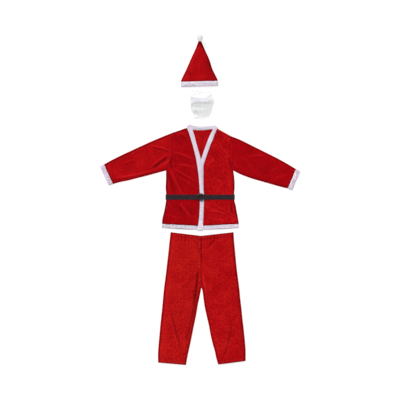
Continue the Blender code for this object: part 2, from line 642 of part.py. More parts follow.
def make_elastic(parent):
    """The elastic that goes behind the head, with the knot that joins it and its two cut ends."""
    tube_path("beard_elastic", ELASTIC_ROUTE, ELASTIC, WHITE_ELASTIC, parent, 0.0040)
    tube_path("beard_elastic_tail", TAIL_ROUTE, ELASTIC, WHITE_ELASTIC, parent, 0.0040)
    middle = Vector((*KNOT, ELASTIC + 0.0004 + KNOT_SIZE / 2))
    mesh = bmesh.new()
    bmesh.ops.create_cube(mesh, size=KNOT_SIZE)
    bmesh.ops.translate(mesh, verts=mesh.verts, vec=middle)
    front = min(mesh.faces, key=lambda face: face.calc_center_median().y)

    def centre(t):
        fall = (middle.z - ELASTIC / 2 - 0.0002) * soft(t * 2.2)
        return middle + Vector((0.0015 * sin(3 * t), -KNOT_SIZE / 2 - KNOT_END * t, -fall))

    grow_lock(mesh, front, centre, lambda t: ELASTIC / 2, lambda t: ELASTIC / 2, 6)
    finish("beard_elastic_knot", mesh, WHITE_ELASTIC, parent)


def make_beard():
    parent = garment("beard", BEARD_AT)
    for row in HAIR_ROWS:
        make_hair_row(row, parent)
    make_moustache(parent)
    make_elastic(parent)


# ---------------------------------------------------------------- jacket
def cinch(y):
    """1 where the belt holds the jacket flat, 0 away from it."""
    return line_at(CINCH, y)


def belt_lift(x, y):
    """The belt's hidden run lies on the floor and lifts the jacket's back off it."""
    return (TAPE + REST) * cinch(y)


def back_top(y):
    """The top of the jacket's back, or of its hem band or neck band, down the middle."""
    over_hem = clamp((OVER_HEM[0] - y) / OVER_HEM[1])
    over_neck = clamp((y - OVER_NECK[0]) / OVER_NECK[1])
    return mix(CLOTH + belt_lift(0, y), PLUSH, max(over_hem, over_neck))


def band_plush(y):
    return mix(PLUSH, CINCHED_PLUSH, cinch(y))


def band_base(side, y):
    """The underside of a front band. The right one lies on the left one, up to where they part."""
    base = back_top(y) + REST
    if side < 0:
        base += (band_plush(y) + REST) * soft((BANDS_PART[0] - y) / BANDS_PART[1])
    return base


def side_edge(side, y):
    return edge_at(SIDES, y, "left" if side < 0 else "right")


def band_edge(side, y):
    """The outer edge of a front band, where its front panel is sewn on."""
    return edge_at(RIGHT_BAND, y, "left") if side < 0 else edge_at(LEFT_BAND, y, "right")


def front_rows(side, arm_steps=ARM_STEPS):
    """Pairs of heights, at the side and at the band, from the hem to the shoulder."""
    rows = [(HEM_SIDE, HEM_FRONT)]
    rows += [(step, step - BAND_SAG * soft((SAG_RUN - step) / SAG_RUN)) for step in BODY_STEPS]
    rows += [(mix(UNDERARM, SHOULDER[side], step), mix(0.450, NECK, step)) for step in arm_steps]
    return rows


def front_top(side, x, y):
    """The height of the jacket's upper layer, from its seams, its lift and its creases."""
    edge = 2 * CLOTH + REST
    in_from_side = abs(side_edge(side, y) - x) + max(0.0, y - UNDERARM)
    shoulder = mix(NECK, SHOULDER[side], clamp((abs(x) - SHOULDER_RUNS[0]) / SHOULDER_RUNS[1]))
    full = soft(in_from_side / EASE) * soft((shoulder - y) / EASE)
    flat = cinch(y)
    height = edge + full * (LOFT + relief(JACKET_CREASES, x, y) * (1 - flat))
    height += belt_lift(x, y) + HEM_LIFT * soft((HEM_LIFT_RUN[0] - y) / HEM_LIFT_RUN[1])
    in_from_band = abs(band_edge(side, y) - x)
    at_band = band_base(side, y) + BAND_STEP + CLOTH
    return mix(height, at_band, soft(1 - in_from_band / BAND_EASE))


def make_front(side, name, parent):
    rows = front_rows(side)

    def place(column, row, depth):
        at_side, at_band = rows[row]
        outer = Vector((side_edge(side, at_side), at_side))
        inner = Vector((band_edge(side, at_band) + side * SEAM, at_band))
        x, y = outer.lerp(inner, column / FRONT_COLUMNS)
        return Vector((x, y, front_top(side, x, y) - depth * CLOTH))

    cloth(name, FRONT_COLUMNS, len(rows) - 1, place, VELOUR, parent)


def make_back(parent):
    rights = [at_side for at_side, _ in front_rows(-1, BACK_ARM_STEPS)]
    lefts = [at_side for at_side, _ in front_rows(1, BACK_ARM_STEPS)]
    last = len(rights) - 1
    underarm = len(BODY_STEPS) + 1

    def place(column, row, depth):
        share = column / BACK_COLUMNS
        right = Vector((side_edge(-1, rights[row]), rights[row]))
        left = Vector((side_edge(1, lefts[row]), lefts[row]))
        sag = (HEM_SIDE - HEM_FRONT) * 4 * share * (1 - share) * clamp(1 - row / 3)
        rise = clamp((row - underarm) / (last - underarm)) ** 1.5
        shoulders = Vector(NECK_EDGE[0]).lerp(Vector(NECK_EDGE[-1]), share)
        x, y = right.lerp(left, share) + (path_at(NECK_EDGE, share) - shoulders) * rise
        y -= sag
        return Vector((x, y, belt_lift(x, y) + (1 - depth) * CLOTH))

    cloth("jacket_back", BACK_COLUMNS, last, place, VELOUR, parent)


def make_neck_band(parent):
    below = [NECK_BAND_ENDS[0], *NECK_EDGE[3:6], NECK_BAND_ENDS[1]]
    steps = len(below) - 1

    def place(column, row, depth):
        low = Vector(below[column]) + Vector((0, SEAM))
        x, y = low.lerp(Vector(NECK_BAND_TOP[column]), row)
        return Vector((x, y, (1 - depth) * PLUSH))

    cloth("back_neck_band", steps, 1, place, WHITE_PLUSH, parent)


def make_front_band(side, name, parent):
    table, tip = (RIGHT_BAND, RIGHT_TIP) if side < 0 else (LEFT_BAND, LEFT_TIP)
    heights = [table[0].height] + [at_band for _, at_band in front_rows(side)]
    outer, inner = ("left", "right") if side < 0 else ("right", "left")
    lines = [((edge_at(table, y, outer), y), (edge_at(table, y, inner), y)) for y in heights] + [tip]

    def place(column, row, depth):
        x, y = Vector(lines[row][0]).lerp(Vector(lines[row][1]), column / 2)
        height = min(lines[row][0][1], NECK)
        crowned = side < 0 and column == 1 and depth == 0
        crown = CROWN * (1 - cinch(height)) if crowned else 0.0
        return Vector((x, y, band_base(side, height) + band_plush(height) * (1 - depth) + crown))

    cloth(name, 2, len(lines) - 1, place, WHITE_PLUSH, parent)


def make_hem_bands(parent):
    def back(column, row, depth):
        share = column / BACK_COLUMNS
        sag = (HEM_SIDE - HEM_FRONT) * 4 * share * (1 - share)
        x = mix(side_edge(-1, HEM_SIDE), side_edge(1, HEM_SIDE), share)
        y = HEM_SIDE - sag - SEAM - (1 - row) * HEM_BAND
        return Vector((x, y, (1 - depth) * PLUSH))

    cloth("hem_band_back", BACK_COLUMNS, 1, back, WHITE_PLUSH, parent)
    for side, name in ((-1, "right"), (1, "left")):

        def front(column, row, depth, side=side):
            outer = Vector((side_edge(side, HEM_SIDE), HEM_SIDE))
            inner = Vector((band_edge(side, HEM_FRONT) + side * SEAM, HEM_FRONT))
            x, y = outer.lerp(inner, column / FRONT_COLUMNS)
            if row == 0 and column == FRONT_COLUMNS:
                x = band_edge(side, 0.0) + side * 2 * SEAM
            base = PLUSH + REST
            return Vector((x, y - SEAM - (1 - row) * HEM_BAND, base + (1 - depth) * PLUSH))

        cloth("hem_band_" + name, FRONT_COLUMNS, 1, front, WHITE_PLUSH, parent)


def make_sleeve(side, name, parent):
    def armhole(share):
        height = mix(SHOULDER[side], UNDERARM, share)
        return Vector((side_edge(side, height) + side * 2 * SEAM, height))

    top, bottom = armhole(0.0), armhole(1.0)
    table = (Station(*top, *bottom), *SLEEVES[side])

    def point(row, share):
        along = row / SLEEVE_ROWS
        where = along * (len(table) - 1)
        index = min(int(where), len(table) - 2)
        here = [mix(a, b, where - index) for a, b in zip(table[index], table[index + 1])]
        bow = armhole(share) - top.lerp(bottom, share)
        return Vector(here[:2]).lerp(Vector(here[2:]), share) + bow * (1 - soft(along / BOW_FADES))

    tops = [1 - step for step in reversed(ARM_STEPS[1:-1])]
    lows = [1 - step for step in reversed(BACK_ARM_STEPS[1:-1])]
    flat_tube("sleeve_" + name, point, SLEEVE_ROWS, tops, lows, Lay(CLOTH, FOLD, JACKET_CREASES),
              VELOUR, parent)
    start, end = SLEEVES[side][-1], CUFF_END[side]
    gap = SEAM / hypot(end.upper_x - start.upper_x, end.upper_y - start.upper_y)

    def cuff_point(row, share):
        along = mix(gap, 1.0, row / 2)
        here = [mix(a, b, along) for a, b in zip(start, end)]
        return Vector(here[:2]).lerp(Vector(here[2:]), share)

    flat_tube("cuff_" + name, cuff_point, 2, shares(5), shares(2), Lay(PLUSH, PLUSH_FOLD),
              WHITE_PLUSH, parent)


def make_jacket():
    parent = garment("jacket", JACKET_AT)
    make_back(parent)
    make_neck_band(parent)
    for side, name in ((-1, "right"), (1, "left")):
        make_front(side, "front_" + name, parent)
        make_front_band(side, "front_band_" + name, parent)
        make_sleeve(side, name, parent)
    make_hem_bands(parent)


# ---------------------------------------------------------------- belt
def under_belt(x):
    """The highest thing under the belt within a finger's width of here."""
    highest = 0.0
    for step in range(-3, 4):
        at = clamp(x + step / 3 * STIFFNESS, side_edge(-1, BELT_HEIGHT), side_edge(1, BELT_HEIGHT))
        if edge_at(RIGHT_BAND, BELT_HEIGHT, "left") < at < edge_at(RIGHT_BAND, BELT_HEIGHT, "right"):
            highest = max(highest, band_base(-1, BELT_HEIGHT) + band_plush(BELT_HEIGHT))
        else:
            side = -1 if at < 0 else 1
            highest = max(highest, front_top(side, at, BELT_HEIGHT))
    return highest


def bump(x, hump):
    """1 over a hump's flat top, down to 0 over its run on each side."""
    return 1 - soft((abs(x) - hump.flat) / hump.run)


def belt_base(x):
    """The underside of the belt's upper run, with a hump over the buckle's bar and over each keeper."""
    lift = (BAR_DEEP + REST) * bump(x - BUCKLE_X, BAR_HUMP)
    for keeper in KEEPERS.values():
        lift += (KEEPER_WALL + REST) * bump(x - keeper, KEEPER_HUMP)
    return under_belt(x) + BELT_REST + lift


def belt_stops():
    """Where the upper run has its corners: evenly along it, and at each bend of its humps."""
    reaches = (0.0, BAR_HUMP.flat, BAR_HUMP.flat + BAR_HUMP.run, BUCKLE_RING * 0.58, BUCKLE_RING)
    stops = {BUCKLE_X + side * reach for reach in reaches for side in (-1, 1)}
    for keeper in KEEPERS.values():
        foot = KEEPER_HUMP.flat + KEEPER_HUMP.run
        outward = foot if keeper > 0 else -foot
        stops |= {keeper - KEEPER_HUMP.flat, keeper + KEEPER_HUMP.flat, keeper + outward}
    low, high = min(stops) - BELT_STEP / 4, max(stops) + BELT_STEP / 4
    evenly = [step * BELT_STEP - BELT_ENDS for step in range(round(2 * BELT_ENDS / BELT_STEP) + 1)]
    return sorted(stops.union(stop for stop in evenly if not low < stop < high))


def make_belt():
    parent = garment("belt", JACKET_AT)
    left = side_edge(-1, BELT_HEIGHT) - BELT_SLACK
    right = side_edge(1, BELT_HEIGHT) + BELT_SLACK
    low, high = BELT_HEIGHT - BELT_WIDTH / 2, BELT_HEIGHT + BELT_WIDTH / 2
    fold = (under_belt(left) + BELT_REST + TAPE) / 2
    stops = belt_stops()
    ring = [("fold", -1, turn) for turn in (-90, -45, 0, 45, 90)] + [("top", stop, 0) for stop in stops]
    ring += [("fold", 1, turn) for turn in (90, 45, 0, -45, -90)] + [("low", 0.0, 0)]
    ring.append(ring[0])

    def place(column, row, depth):
        kind, value, turn = ring[column]
        y = high if row else low
        if kind == "top":
            return Vector((value, y, belt_base(value) + TAPE * (1 - depth)))
        if kind == "low":
            return Vector((value, y, TAPE * depth))
        radius = fold - TAPE * depth
        middle = left + fold if value < 0 else right - fold
        return Vector((middle + value * radius * cos(radians(turn)), y, fold + radius * sin(radians(turn))))

    cloth("belt_strap", len(ring) - 1, 1, place, BLACK_TAPE, parent, closed_rows=1)
    for name, keeper in KEEPERS.items():
        make_keeper("belt_keeper_" + name, keeper, parent)
    make_buckle(parent)


def make_keeper(name, x, parent):
    """A flat loop round the upper run. Its lower run lies between the belt and the jacket."""
    reach = KEEPER_WIDE / 2
    inside_low = under_belt(x) + KEEPER_LOW + KEEPER_WALL
    inside_high = max(belt_base(x - reach), belt_base(x), belt_base(x + reach)) + TAPE + REST
    inside = BELT_WIDTH / 2 + BELT_REST
    corners = ((-1, 0), (1, 0), (1, 1), (-1, 1), (-1, 0))

    def place(column, row, depth):
        side, level = corners[column]
        wall = KEEPER_WALL * (1 - depth)
        high = inside_high + wall if level else inside_low - wall
        return Vector((x + (row - 0.5) * KEEPER_WIDE, BELT_HEIGHT + side * (inside + wall), high))

    cloth(name, 4, 1, place, BLACK_TAPE, parent, closed_rows=1)


def make_buckle(parent):
    """A round ring that the belt runs under, with a bar across it that the belt runs over."""
    bar_low = under_belt(BUCKLE_X) + REST
    ring_low = belt_base(BUCKLE_X - BUCKLE_RING) + TAPE + REST
    ring_low = max(ring_low, belt_base(BUCKLE_X + BUCKLE_RING) + TAPE + REST)
    mesh = bmesh.new()
    section = bmesh.ops.create_circle(mesh, segments=RING_SIDES, radius=1.0)["verts"]
    for vert in section:
        across, up = vert.co.x, vert.co.y
        vert.co = (BUCKLE_RING + BUCKLE_RIM * across, 0.0, ring_low + BUCKLE_DEEP * (1 + up))
    bmesh.ops.spin(mesh, geom=mesh.verts[:] + mesh.edges[:], cent=(0, 0, 0), axis=(0, 0, 1),
                   dvec=(0, 0, 0), angle=2 * pi, steps=RING_STEPS, use_merge=True)
    bmesh.ops.remove_doubles(mesh, verts=mesh.verts, dist=1e-6)
    bmesh.ops.translate(mesh, verts=mesh.verts, vec=(BUCKLE_X, BELT_HEIGHT, 0.0))
    ring = finish("belt_buckle", mesh, BLACK_PLASTIC, parent)
    post = BELT_WIDTH / 2 + RAIL_GAP
    bar_end = post - POST_SLOPE
    stops = (-BUCKLE_RING, -post, -bar_end, bar_end, post, BUCKLE_RING)
    post_high, bar_high = ring_low + BUCKLE_DEEP, bar_low + BAR_DEEP
    bar = bmesh.new()
    bmesh.ops.create_grid(bar, x_segments=1, y_segments=len(stops) - 1, size=0.5)
    under = bmesh.ops.extrude_face_region(bar, geom=bar.faces[:])["geom"]
    under = {part for part in under if isinstance(part, bmesh.types.BMVert)}
    for vert in bar.verts:
        index = round((vert.co.y + 0.5) * (len(stops) - 1))
        level = bar_high if abs(stops[index]) == bar_end else post_high
        vert.co = (BUCKLE_X + vert.co.x * BAR_WIDE, BELT_HEIGHT + stops[index],
                   bar_low if vert in under else level)
    cutter = finish("buckle_bar_guide", bar, BLACK_PLASTIC, parent)
    cutter.hide_render = True
    cutter.display_type = "WIRE"
    join = ring.modifiers.new("bar", "BOOLEAN")
    join.operation = "UNION"
    join.object = cutter


# ---------------------------------------------------------------- trousers
def make_leg(side, name, parent):
    table = LEGS[side]
    inners = [WAIST_FRONT, *FORK_STEPS, CROTCH, *LEG_STEPS, HEM_INNER[side]]
    inners.reverse()
    fork = inners.index(CROTCH)
    rise = HEM_RISE[side] - HEM_INNER[side]

    def point(row, share):
        height = inners[row]
        slope = mix(rise, WAIST_SIDE - WAIST_FRONT, soft(height / WAIST_FRONT))
        slope *= clamp(abs(height / WAIST_FRONT - 0.5) * 2 + LEVEL_KNEE)
        inner = Vector((edge_at(table, height, "inner") + side * SEAM, height))
        outer = Vector((edge_at(table, height + slope, "outer"), height + slope))
        return inner.lerp(outer, share)

    flat_tube("trouser_leg_" + name, point, len(inners) - 1, shares(LEG_TOPS), shares(3),
              Lay(CLOTH, FOLD, TROUSER_CREASES), VELOUR, parent, closed_rows=fork)


def make_trousers():
    parent = garment("trousers", TROUSERS_AT)
    for side, name in ((-1, "right"), (1, "left")):
        make_leg(side, name, parent)


def clear_scene():
    for thing in list(bpy.data.objects):
        bpy.data.objects.remove(thing)


clear_scene()
make_hat()
make_beard()
make_jacket()
make_belt()
make_trousers()
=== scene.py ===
"""The looks of a santa suit laid out flat: velour, plush, hair, webbing and stitching on its solids."""

import random
from collections import namedtuple
from math import atan2, cos, hypot, pi, radians, sin

import bmesh
import bpy
from mathutils import Matrix, Vector, noise


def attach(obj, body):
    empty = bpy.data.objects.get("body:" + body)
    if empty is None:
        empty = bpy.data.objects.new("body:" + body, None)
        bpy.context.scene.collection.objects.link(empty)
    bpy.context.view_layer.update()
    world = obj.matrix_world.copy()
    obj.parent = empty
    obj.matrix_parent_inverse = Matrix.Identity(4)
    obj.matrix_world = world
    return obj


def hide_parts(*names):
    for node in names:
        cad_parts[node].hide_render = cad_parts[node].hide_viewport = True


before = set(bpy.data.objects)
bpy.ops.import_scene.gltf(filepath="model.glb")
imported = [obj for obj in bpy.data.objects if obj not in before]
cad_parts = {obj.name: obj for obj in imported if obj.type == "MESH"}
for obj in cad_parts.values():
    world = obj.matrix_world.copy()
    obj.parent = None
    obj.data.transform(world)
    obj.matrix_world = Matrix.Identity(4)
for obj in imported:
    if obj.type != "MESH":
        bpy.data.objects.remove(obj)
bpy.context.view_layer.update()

# ---------------------------------------------------------------- cloth and how it lies, in metres
CLOTH = 0.0015          # velour
PLUSH = 0.0030          # white trim with its pile
PILE = 0.0011           # the part of it that is loose pile
TAPE = 0.0015           # belt webbing
SEAM = 0.00002
REST = 0.0003
FOLD = 0.0036           # height of a folded edge of velour
PLUSH_FOLD = 0.0066
LOFT = 0.0018           # how far an upper layer stands over its folded edges
EASE = 0.030            # and how far in from them it reaches that
PLUSH_LOFT = 0.0010
PLUSH_EASE = 0.012
END_ROLL = 0.0014       # how far a tube of plush rounds off at its two ends

DIP_BESIDE = 1.9        # in the widths of its crease
DIP_WIDE = 1.2
LOWEST_LIFT = -0.0004   # how far cloth may sink below its folded edges
TUFT = 0.0020           # reach of loose pile
SHORT_TUFT = 0.0012
LONG_TUFT = 0.0022
LOWEST_TUFT = 0.0003    # no tip comes lower than this
LOWEST_HAIR = 0.0002
CLEAR = 0.0001          # keeps two faces from lying in one another
SEAM_SHADE = 1.1        # how much painted shade darkens the velour where a trim is sewn on
TOPS, LOWS = 60, 8      # steps across the upper and the lower layer of a tube of velour
FOLD_TURNS = range(-90, 91, 15)           # round one fold of the belt or of its loops, in degrees
SIDE_NAMES = {-1: "right", 1: "left"}     # the wearer's right is at the left of the scene
OUTER = {-1: "left", 1: "right"}

HAT_AT = Vector((0.0, 0.846))
BEARD_AT = Vector((0.011, 0.764))
JACKET_AT = Vector((0.0, -0.224))
TROUSERS_AT = Vector((0.0, -1.240))

Edges = namedtuple("Edges", "height left right")
Limb = namedtuple("Limb", "height outer inner")
Station = namedtuple("Station", "upper_x upper_y lower_x lower_y")
# A crease runs from one end to the other with a bow to its left. It is a ridge or, if its height is
# negative, a trough. It can have a dip to its left or, with a negative one, to its right.
# Besides its height it paints a highlight along its line, or painted shade where that number is negative.
Crease = namedtuple("Crease", "x0 y0 x1 y1 bow wide high nap dip", defaults=(0.0,))


def mm(*measures):
    """Measures written in millimetres, in metres."""
    return tuple(round(measure / 1000, 7) for measure in measures)


def spots(*rows):
    """Places, each a row of millimetres."""
    return tuple(mm(*row) for row in rows)


def table(kind, *rows):
    """Rows of one kind, in millimetres."""
    return tuple(kind(*mm(*row)) for row in rows)


def creases(*rows):
    """Creases in millimetres, but for how much painted highlight or painted shade they put on the cloth.
    """
    return tuple(Crease(*mm(*row[:7]), row[7], *mm(*row[8:])) for row in rows)


# ---------------------------------------------------------------- jacket, from the hem's bottom
SIDES = table(
    Edges,
    (44, -286, 291), (88, -281, 285), (133, -270, 276), (185, -260, 267), (217, -255, 258),
    (272, -254, 256), (310, -257.5, 259.5), (373, -255, 258.5), (444, -253.5, 249),
    (463, -243, 240), (484, -231, 231), (508, -221, 225), (536, -215.5, 221), (570, -214.5, 219),
    (608, -214.5, 220.5), (660, -215, 226), (703, -215.8, 231), (724, -216, 233))
BANDS = {
    -1: table(
        Edges,
        (-8, -16.5, 22.5), (30, -14, 21), (80, -7.5, 23.5), (148, -3, 26.5), (188, -1.5, 28),
        (245, -1.5, 28.5), (305, -3, 25.5), (373, -7.5, 22), (433, -13.5, 18), (490, -22, 12),
        (540, -31, 2), (621, -51, -21), (707, -76.5, -43.5), (760, -96, -60)),
    1: table(
        Edges,
        (-4, -7, 21), (30, -6, 20.5), (80, -5, 23), (148, -3, 26.2), (188, -1, 27.8),
        (245, -1, 28.3), (305, -2, 26.8), (373, -3, 26), (433, -3, 26), (482, -2, 27),
        (526, 8.5, 40), (546, 16, 47), (624, 41.5, 74), (700, 72, 105), (760, 101, 129)),
}
BAND_TIPS = {-1: spots((-99, 776), (-67, 794)), 1: spots((134, 766), (104, 790))}
HEM_BAND = 0.030
NECK_BAND_WIDE = 0.020
FRONT_BAND_WIDE = 0.035
HEM_SIDE = 0.044
HEM_FRONT = 0.030
UNDERARM = 0.444
ARMHOLE_IN = 0.0006     # what a sleeve goes in under its front
BAND_MIDDLE = 0.450     # the height on a band that is level with the underarm
SHOULDER = {-1: 0.724, 1: 0.703}
NECK = 0.760
NECK_EDGE = spots(
    (-216, 724), (-156, 744), (-96.5, 762.5), (-50, 749.5), (7, 746.5), (70, 751.5), (127.5, 757),
    (180, 730), (231, 703))
NECK_BAND_TOP = spots((-76, 785), (-42, 779), (7, 774), (64, 778.5), (109, 783))
NECK_BAND_ENDS = spots((-88, 762.5), (118, 758))
CINCH = ((0.188, 0.0), (0.217, 1.0), (0.272, 1.0), (0.300, 0.0))
CINCHED_PLUSH = 0.0020
BAND_EASE = 0.060       # how wide a strip of each front slopes to its band
ROLL = 0.0012           # how far a strip of plush rounds off at its edges
ROLL_WIDE = 0.006

SLEEVES = {
    -1: table(
        Station,
        (-277.5, 699.2, -311, 428.5), (-367.5, 661.2, -394, 405.8), (-457.5, 620, -472.5, 386),
        (-547.5, 578.5, -540, 368.5), (-637.5, 535.5, -600, 356.5), (-721, 490, -653.5, 341.5)),
    1: table(
        Station,
        (300, 675.5, 307.5, 413.5), (390, 631, 390, 383), (472.5, 590, 465, 361.3),
        (562.5, 545, 532.5, 341.8), (645, 500.5, 600, 322.5), (721, 455, 659, 308.5)),
}
CUFF_END = {-1: Station(*mm(-751, 476, -683.5, 332.5)), 1: Station(*mm(752.5, 442.5, 691, 296.5))}
BOW_FADES = 0.30

# Creases of no height only paint: painted shade along the right sleeve's top and the right side, broad
# painted highlight on the left side and skirt.
JACKET_CREASES = creases(
    (-800, 435, -130, 753, 10, 14, 0, -0.4), (-287, -80, -240, 560, -9, 9.5, 0, -0.2),
    (224, 200, 224, 460, 0, 28, 0, 0.22), (-385, 630, -212, 582, 8.5, 7, 2.6, 0.45, -0.9),
    (-372, 612, -212, 566, 7, 5, -0.8, -0.3), (-214, 584, -28, 520, 4, 7, 2.4, 0.4, -0.9),
    (-190, 492, -2, 458, 3, 7, 2, 0.35, 0.8), (-205, 458, -18, 346, 5, 6, 2.2, 0.4, -0.7),
    (-200, 436, -12, 330, 3, 5, -1, -0.35), (-190, 412, -20, 306, 2, 6, 1.6, 0.25),
    (-229, 466, -112, 222, -3, 9, 2.8, 0.42), (-238, 450, -170, 222, -3, 8, -1.6, -0.5),
    (-243, 450, -224, 240, -3, 6, 1.6, 0.3), (-169, 726, -75, 662, 14.7, 7, 2.2, 0.35, -0.9),
    (-165, 703, -86, 647, 10.9, 6, -1, -0.2), (-658, 383, -309, 452, -8.6, 8, 2.6, 0.45, -0.7),
    (-372, 462, -217, 573, 7, 5, 2.2, 0.35), (-366, 450, -221, 556, 0.5, 10.5, -3.4, -0.85),
    (-290, 474, -212, 532, -1.8, 6, 1.8, 0.5), (-210, 545, -176, 493, 1.5, 5, -1.6, -0.5),
    (-217, 550, -213, 445, -2.2, 8, -2.4, -0.9), (-692, 497, -651, 384, -3.7, 7, 2, 0.3),
    (-525, 553, -397, 602, 13.6, 9, 1.6, 0.15), (-600, 478, -457, 519, 12.3, 9, 1.4, 0.12),
    (-156, 208, -56, 83, -3.9, 8, 2.4, 0.4), (-177, 193, -139, 129, -1, 7, -1.2, -0.25),
    (-229, 208, -214, 148, 0, 6, 1.6, 0.2), (-30, 118, -37, 58, 2.2, 5, 1.5, 0.25),
    (-240, 125, -135, 80, -9.9, 9, 1.4, 0.12), (138, 740, 232, 671, 2.8, 7, 2.2, 0.35, -0.9),
    (126, 668, 232, 526, -0.5, 7, 2.2, 0.35, 0.8), (211, 534, 226, 429, 12.4, 6, -2.6, -0.7),
    (251, 518, 286, 460, -5.2, 5, 2, 0.35), (244, 519, 270, 455, -4.2, 4, -1.4, -0.4),
    (294, 532, 360, 511, 11.6, 6, 1.4, 0.2), (354, 542, 495, 553, 2.6, 9, 1.6, 0.14, -0.8),
    (356, 515, 427, 409, -7.1, 7, 1.4, 0.1), (543, 370, 675, 418, 1.9, 9, 1.2, 0.06, 0.6),
    (540, 436, 593, 460, 4.3, 6, 1.4, 0.2), (184, 413, 228, 298, 17.3, 7, 1.8, 0.2),
    (45, 433, 135, 538, 16.3, 9, 1.4, 0.1), (60, 328, 165, 403, 16.6, 9, 1.2, 0.1),
    (60, 143, 225, 103, 6.1, 7, 2, 0.35, -0.7), (42, 100, 202, 76, -15.3, 7, 1.8, 0.3),
    (90, 191, 214, 130, 1, 6, 1.4, 0.2), (20, 120, 270, 130, 0, 55, 0, 0.1),
    (232, 199, 244, 109, 0.2, 4.5, -3, -1), (249, 193, 259, 118, 0.7, 4, 1.4, 0.25))
BACK_CREASES = creases(
    (-45, 740, 10, 640, 4, 10, 1.6, 0.3), (75, 735, 15, 600, -6, 10, 1.4, 0.3))

# ---------------------------------------------------------------- belt, in the jacket's measures
BELT_HEIGHT = 0.2445
BELT_WIDTH = 0.0375
BELT_SLACK = 0.0045
BELT_REST = 0.0005
STIFFNESS = 0.012       # the belt bridges whatever is narrower
SELVEDGE = 0.00022      # how much thicker it is along its edges
CUP = 0.0004            # how far it bows across
BUCKLE_X = 0.005
BUCKLE_RING = 0.0240
BUCKLE_RIM = 0.0036
BUCKLE_DEEP = 0.0030
GROOVE_DEEP = 0.16      # both as shares of the ring's own section
GROOVE_WIDE = 0.28
BAR_WIDE = 0.0050
BAR_DEEP = 0.0022
BAR_ROUND = 0.0007
POST_OFF = 0.0011       # the bar's two posts stand this far off the belt
POST_WIDE = 0.0006
KEEPER_WALL = 0.0010
KEEPER_WIDE = 0.0080
KEEPER_LOW = 0.0001
KEEPERS = {"right": -0.033, "left": 0.051}
BAR_HUMP = (0.0033, 0.0045)
KEEPER_HUMP = (0.0050, 0.0080)

# ---------------------------------------------------------------- trousers, from the hem's bottom
LEGS = {
    -1: table(
        Limb,
        (1.5, -314, -105), (75, -315.8, -92), (142.5, -312.2, -77), (225, -304.5, -60),
        (300, -298, -45), (375, -289.8, -29.5), (465, -280.7, -14), (525, -275.5, -1),
        (562.5, -271.7, 6), (585, -269.3, 10), (682.5, -256.5, 9), (802.5, -242.5, 7.5),
        (862.5, -235.9, 7.5), (937.5, -228, 7.5), (1000, -220.5, 7.5)),
    1: table(
        Limb,
        (1.5, 341, 137.5), (45, 342.5, 124), (112.5, 342.5, 109), (157.5, 339.5, 95.7),
        (225, 333.1, 79.7), (300, 324.8, 66), (360, 318, 51.9), (435, 310, 35.5),
        (495, 303.1, 26.6), (562.5, 296.6, 17.5), (585, 294.2, 10), (727.5, 275.8, 9),
        (862.5, 262.5, 7.5), (937.5, 255.6, 7.5), (1000, 252, 7.5)),
}
HEM_RISE = {-1: 0.020, 1: 0.0315}
HEM_INNER = {-1: 0.0015, 1: 0.0050}
WAIST_SIDE = 0.998
WAIST_FRONT = 0.9705
LEVEL_KNEE = 0.2
CROTCH = 0.585
LEG_GAP = 0.0004
CASING = 0.030          # depth of the waist's elastic casing
LEG_HEM = 0.025
DOUBLED = 0.0008        # how much the doubled cloth of either stands up
STITCH, STITCH_PITCH, THREAD = 0.0034, 0.0046, 0.0007

# Creases of no height only paint: painted shade and a broad painted highlight along the legs' outer
# edges.
TROUSER_CREASES = creases(
    (-325, -250, -185, 1250, 11, 8, 0, -0.12), (-302, -250, -162, 1250, 11, 22, 0, 0.25),
    (346, -250, 211, 1250, -7, 9, 0, -0.14), (-54, 943, -9, 808, 21.6, 5, -1.6, -0.4),
    (-68, 934, -19, 819, 12.9, 5, 1.4, 0.2), (-12, 735, -52, 440, 5.3, 8.5, -3, -1),
    (-17, 570, -104, 150, 1, 8, -1.8, -0.55), (16, 692, 50, 520, 2.7, 6, 2.6, 0.85),
    (-228, 445, -126, 75, -3, 6, -1.8, -0.6), (-241, 435, -145, 85, -3, 5, 1.8, 0.3),
    (236, 370, 154, 15, 25, 6, -2, -0.65), (232, 189, 199, 121, 5.3, 5, 1.6, 0.25),
    (204, 309, 192, 159, 5, 5, 1.6, 0.2), (118, 958, 58, 872, 0.9, 6, -1.6, -0.6),
    (128, 939, 82, 871, 4, 5, 0.8, 0.1), (104, 889, 78, 819, -1.8, 4.5, -1, -0.2),
    (109, 249, 138, 144, 1.3, 6, 1.6, 0.2), (-121, 256, -116, 106, 3, 6, 2, 0.3),
    (-99, 264, -101, 114, 1.5, 5, -1.4, -0.25), (-251, 609, -240, 489, -0.7, 8, 1.6, 0.2),
    (-214, 586, -206, 504, 1.1, 6, -0.8, -0.15), (188, 519, 199, 369, 1.5, 8, 1.2, 0.12),
    (-180, 774, -98, 706, -15.8, 10, 1.4, 0.1), (-165, 579, -75, 661, -8.4, 10, 1.4, 0.1),
    (135, 774, 247, 751, -17.9, 10, 1.4, 0.1), (90, 489, 217, 466, -20.7, 10, 1.3, 0.1),
    (-255, 144, -165, 99, -6.7, 9, 1.4, 0.15))

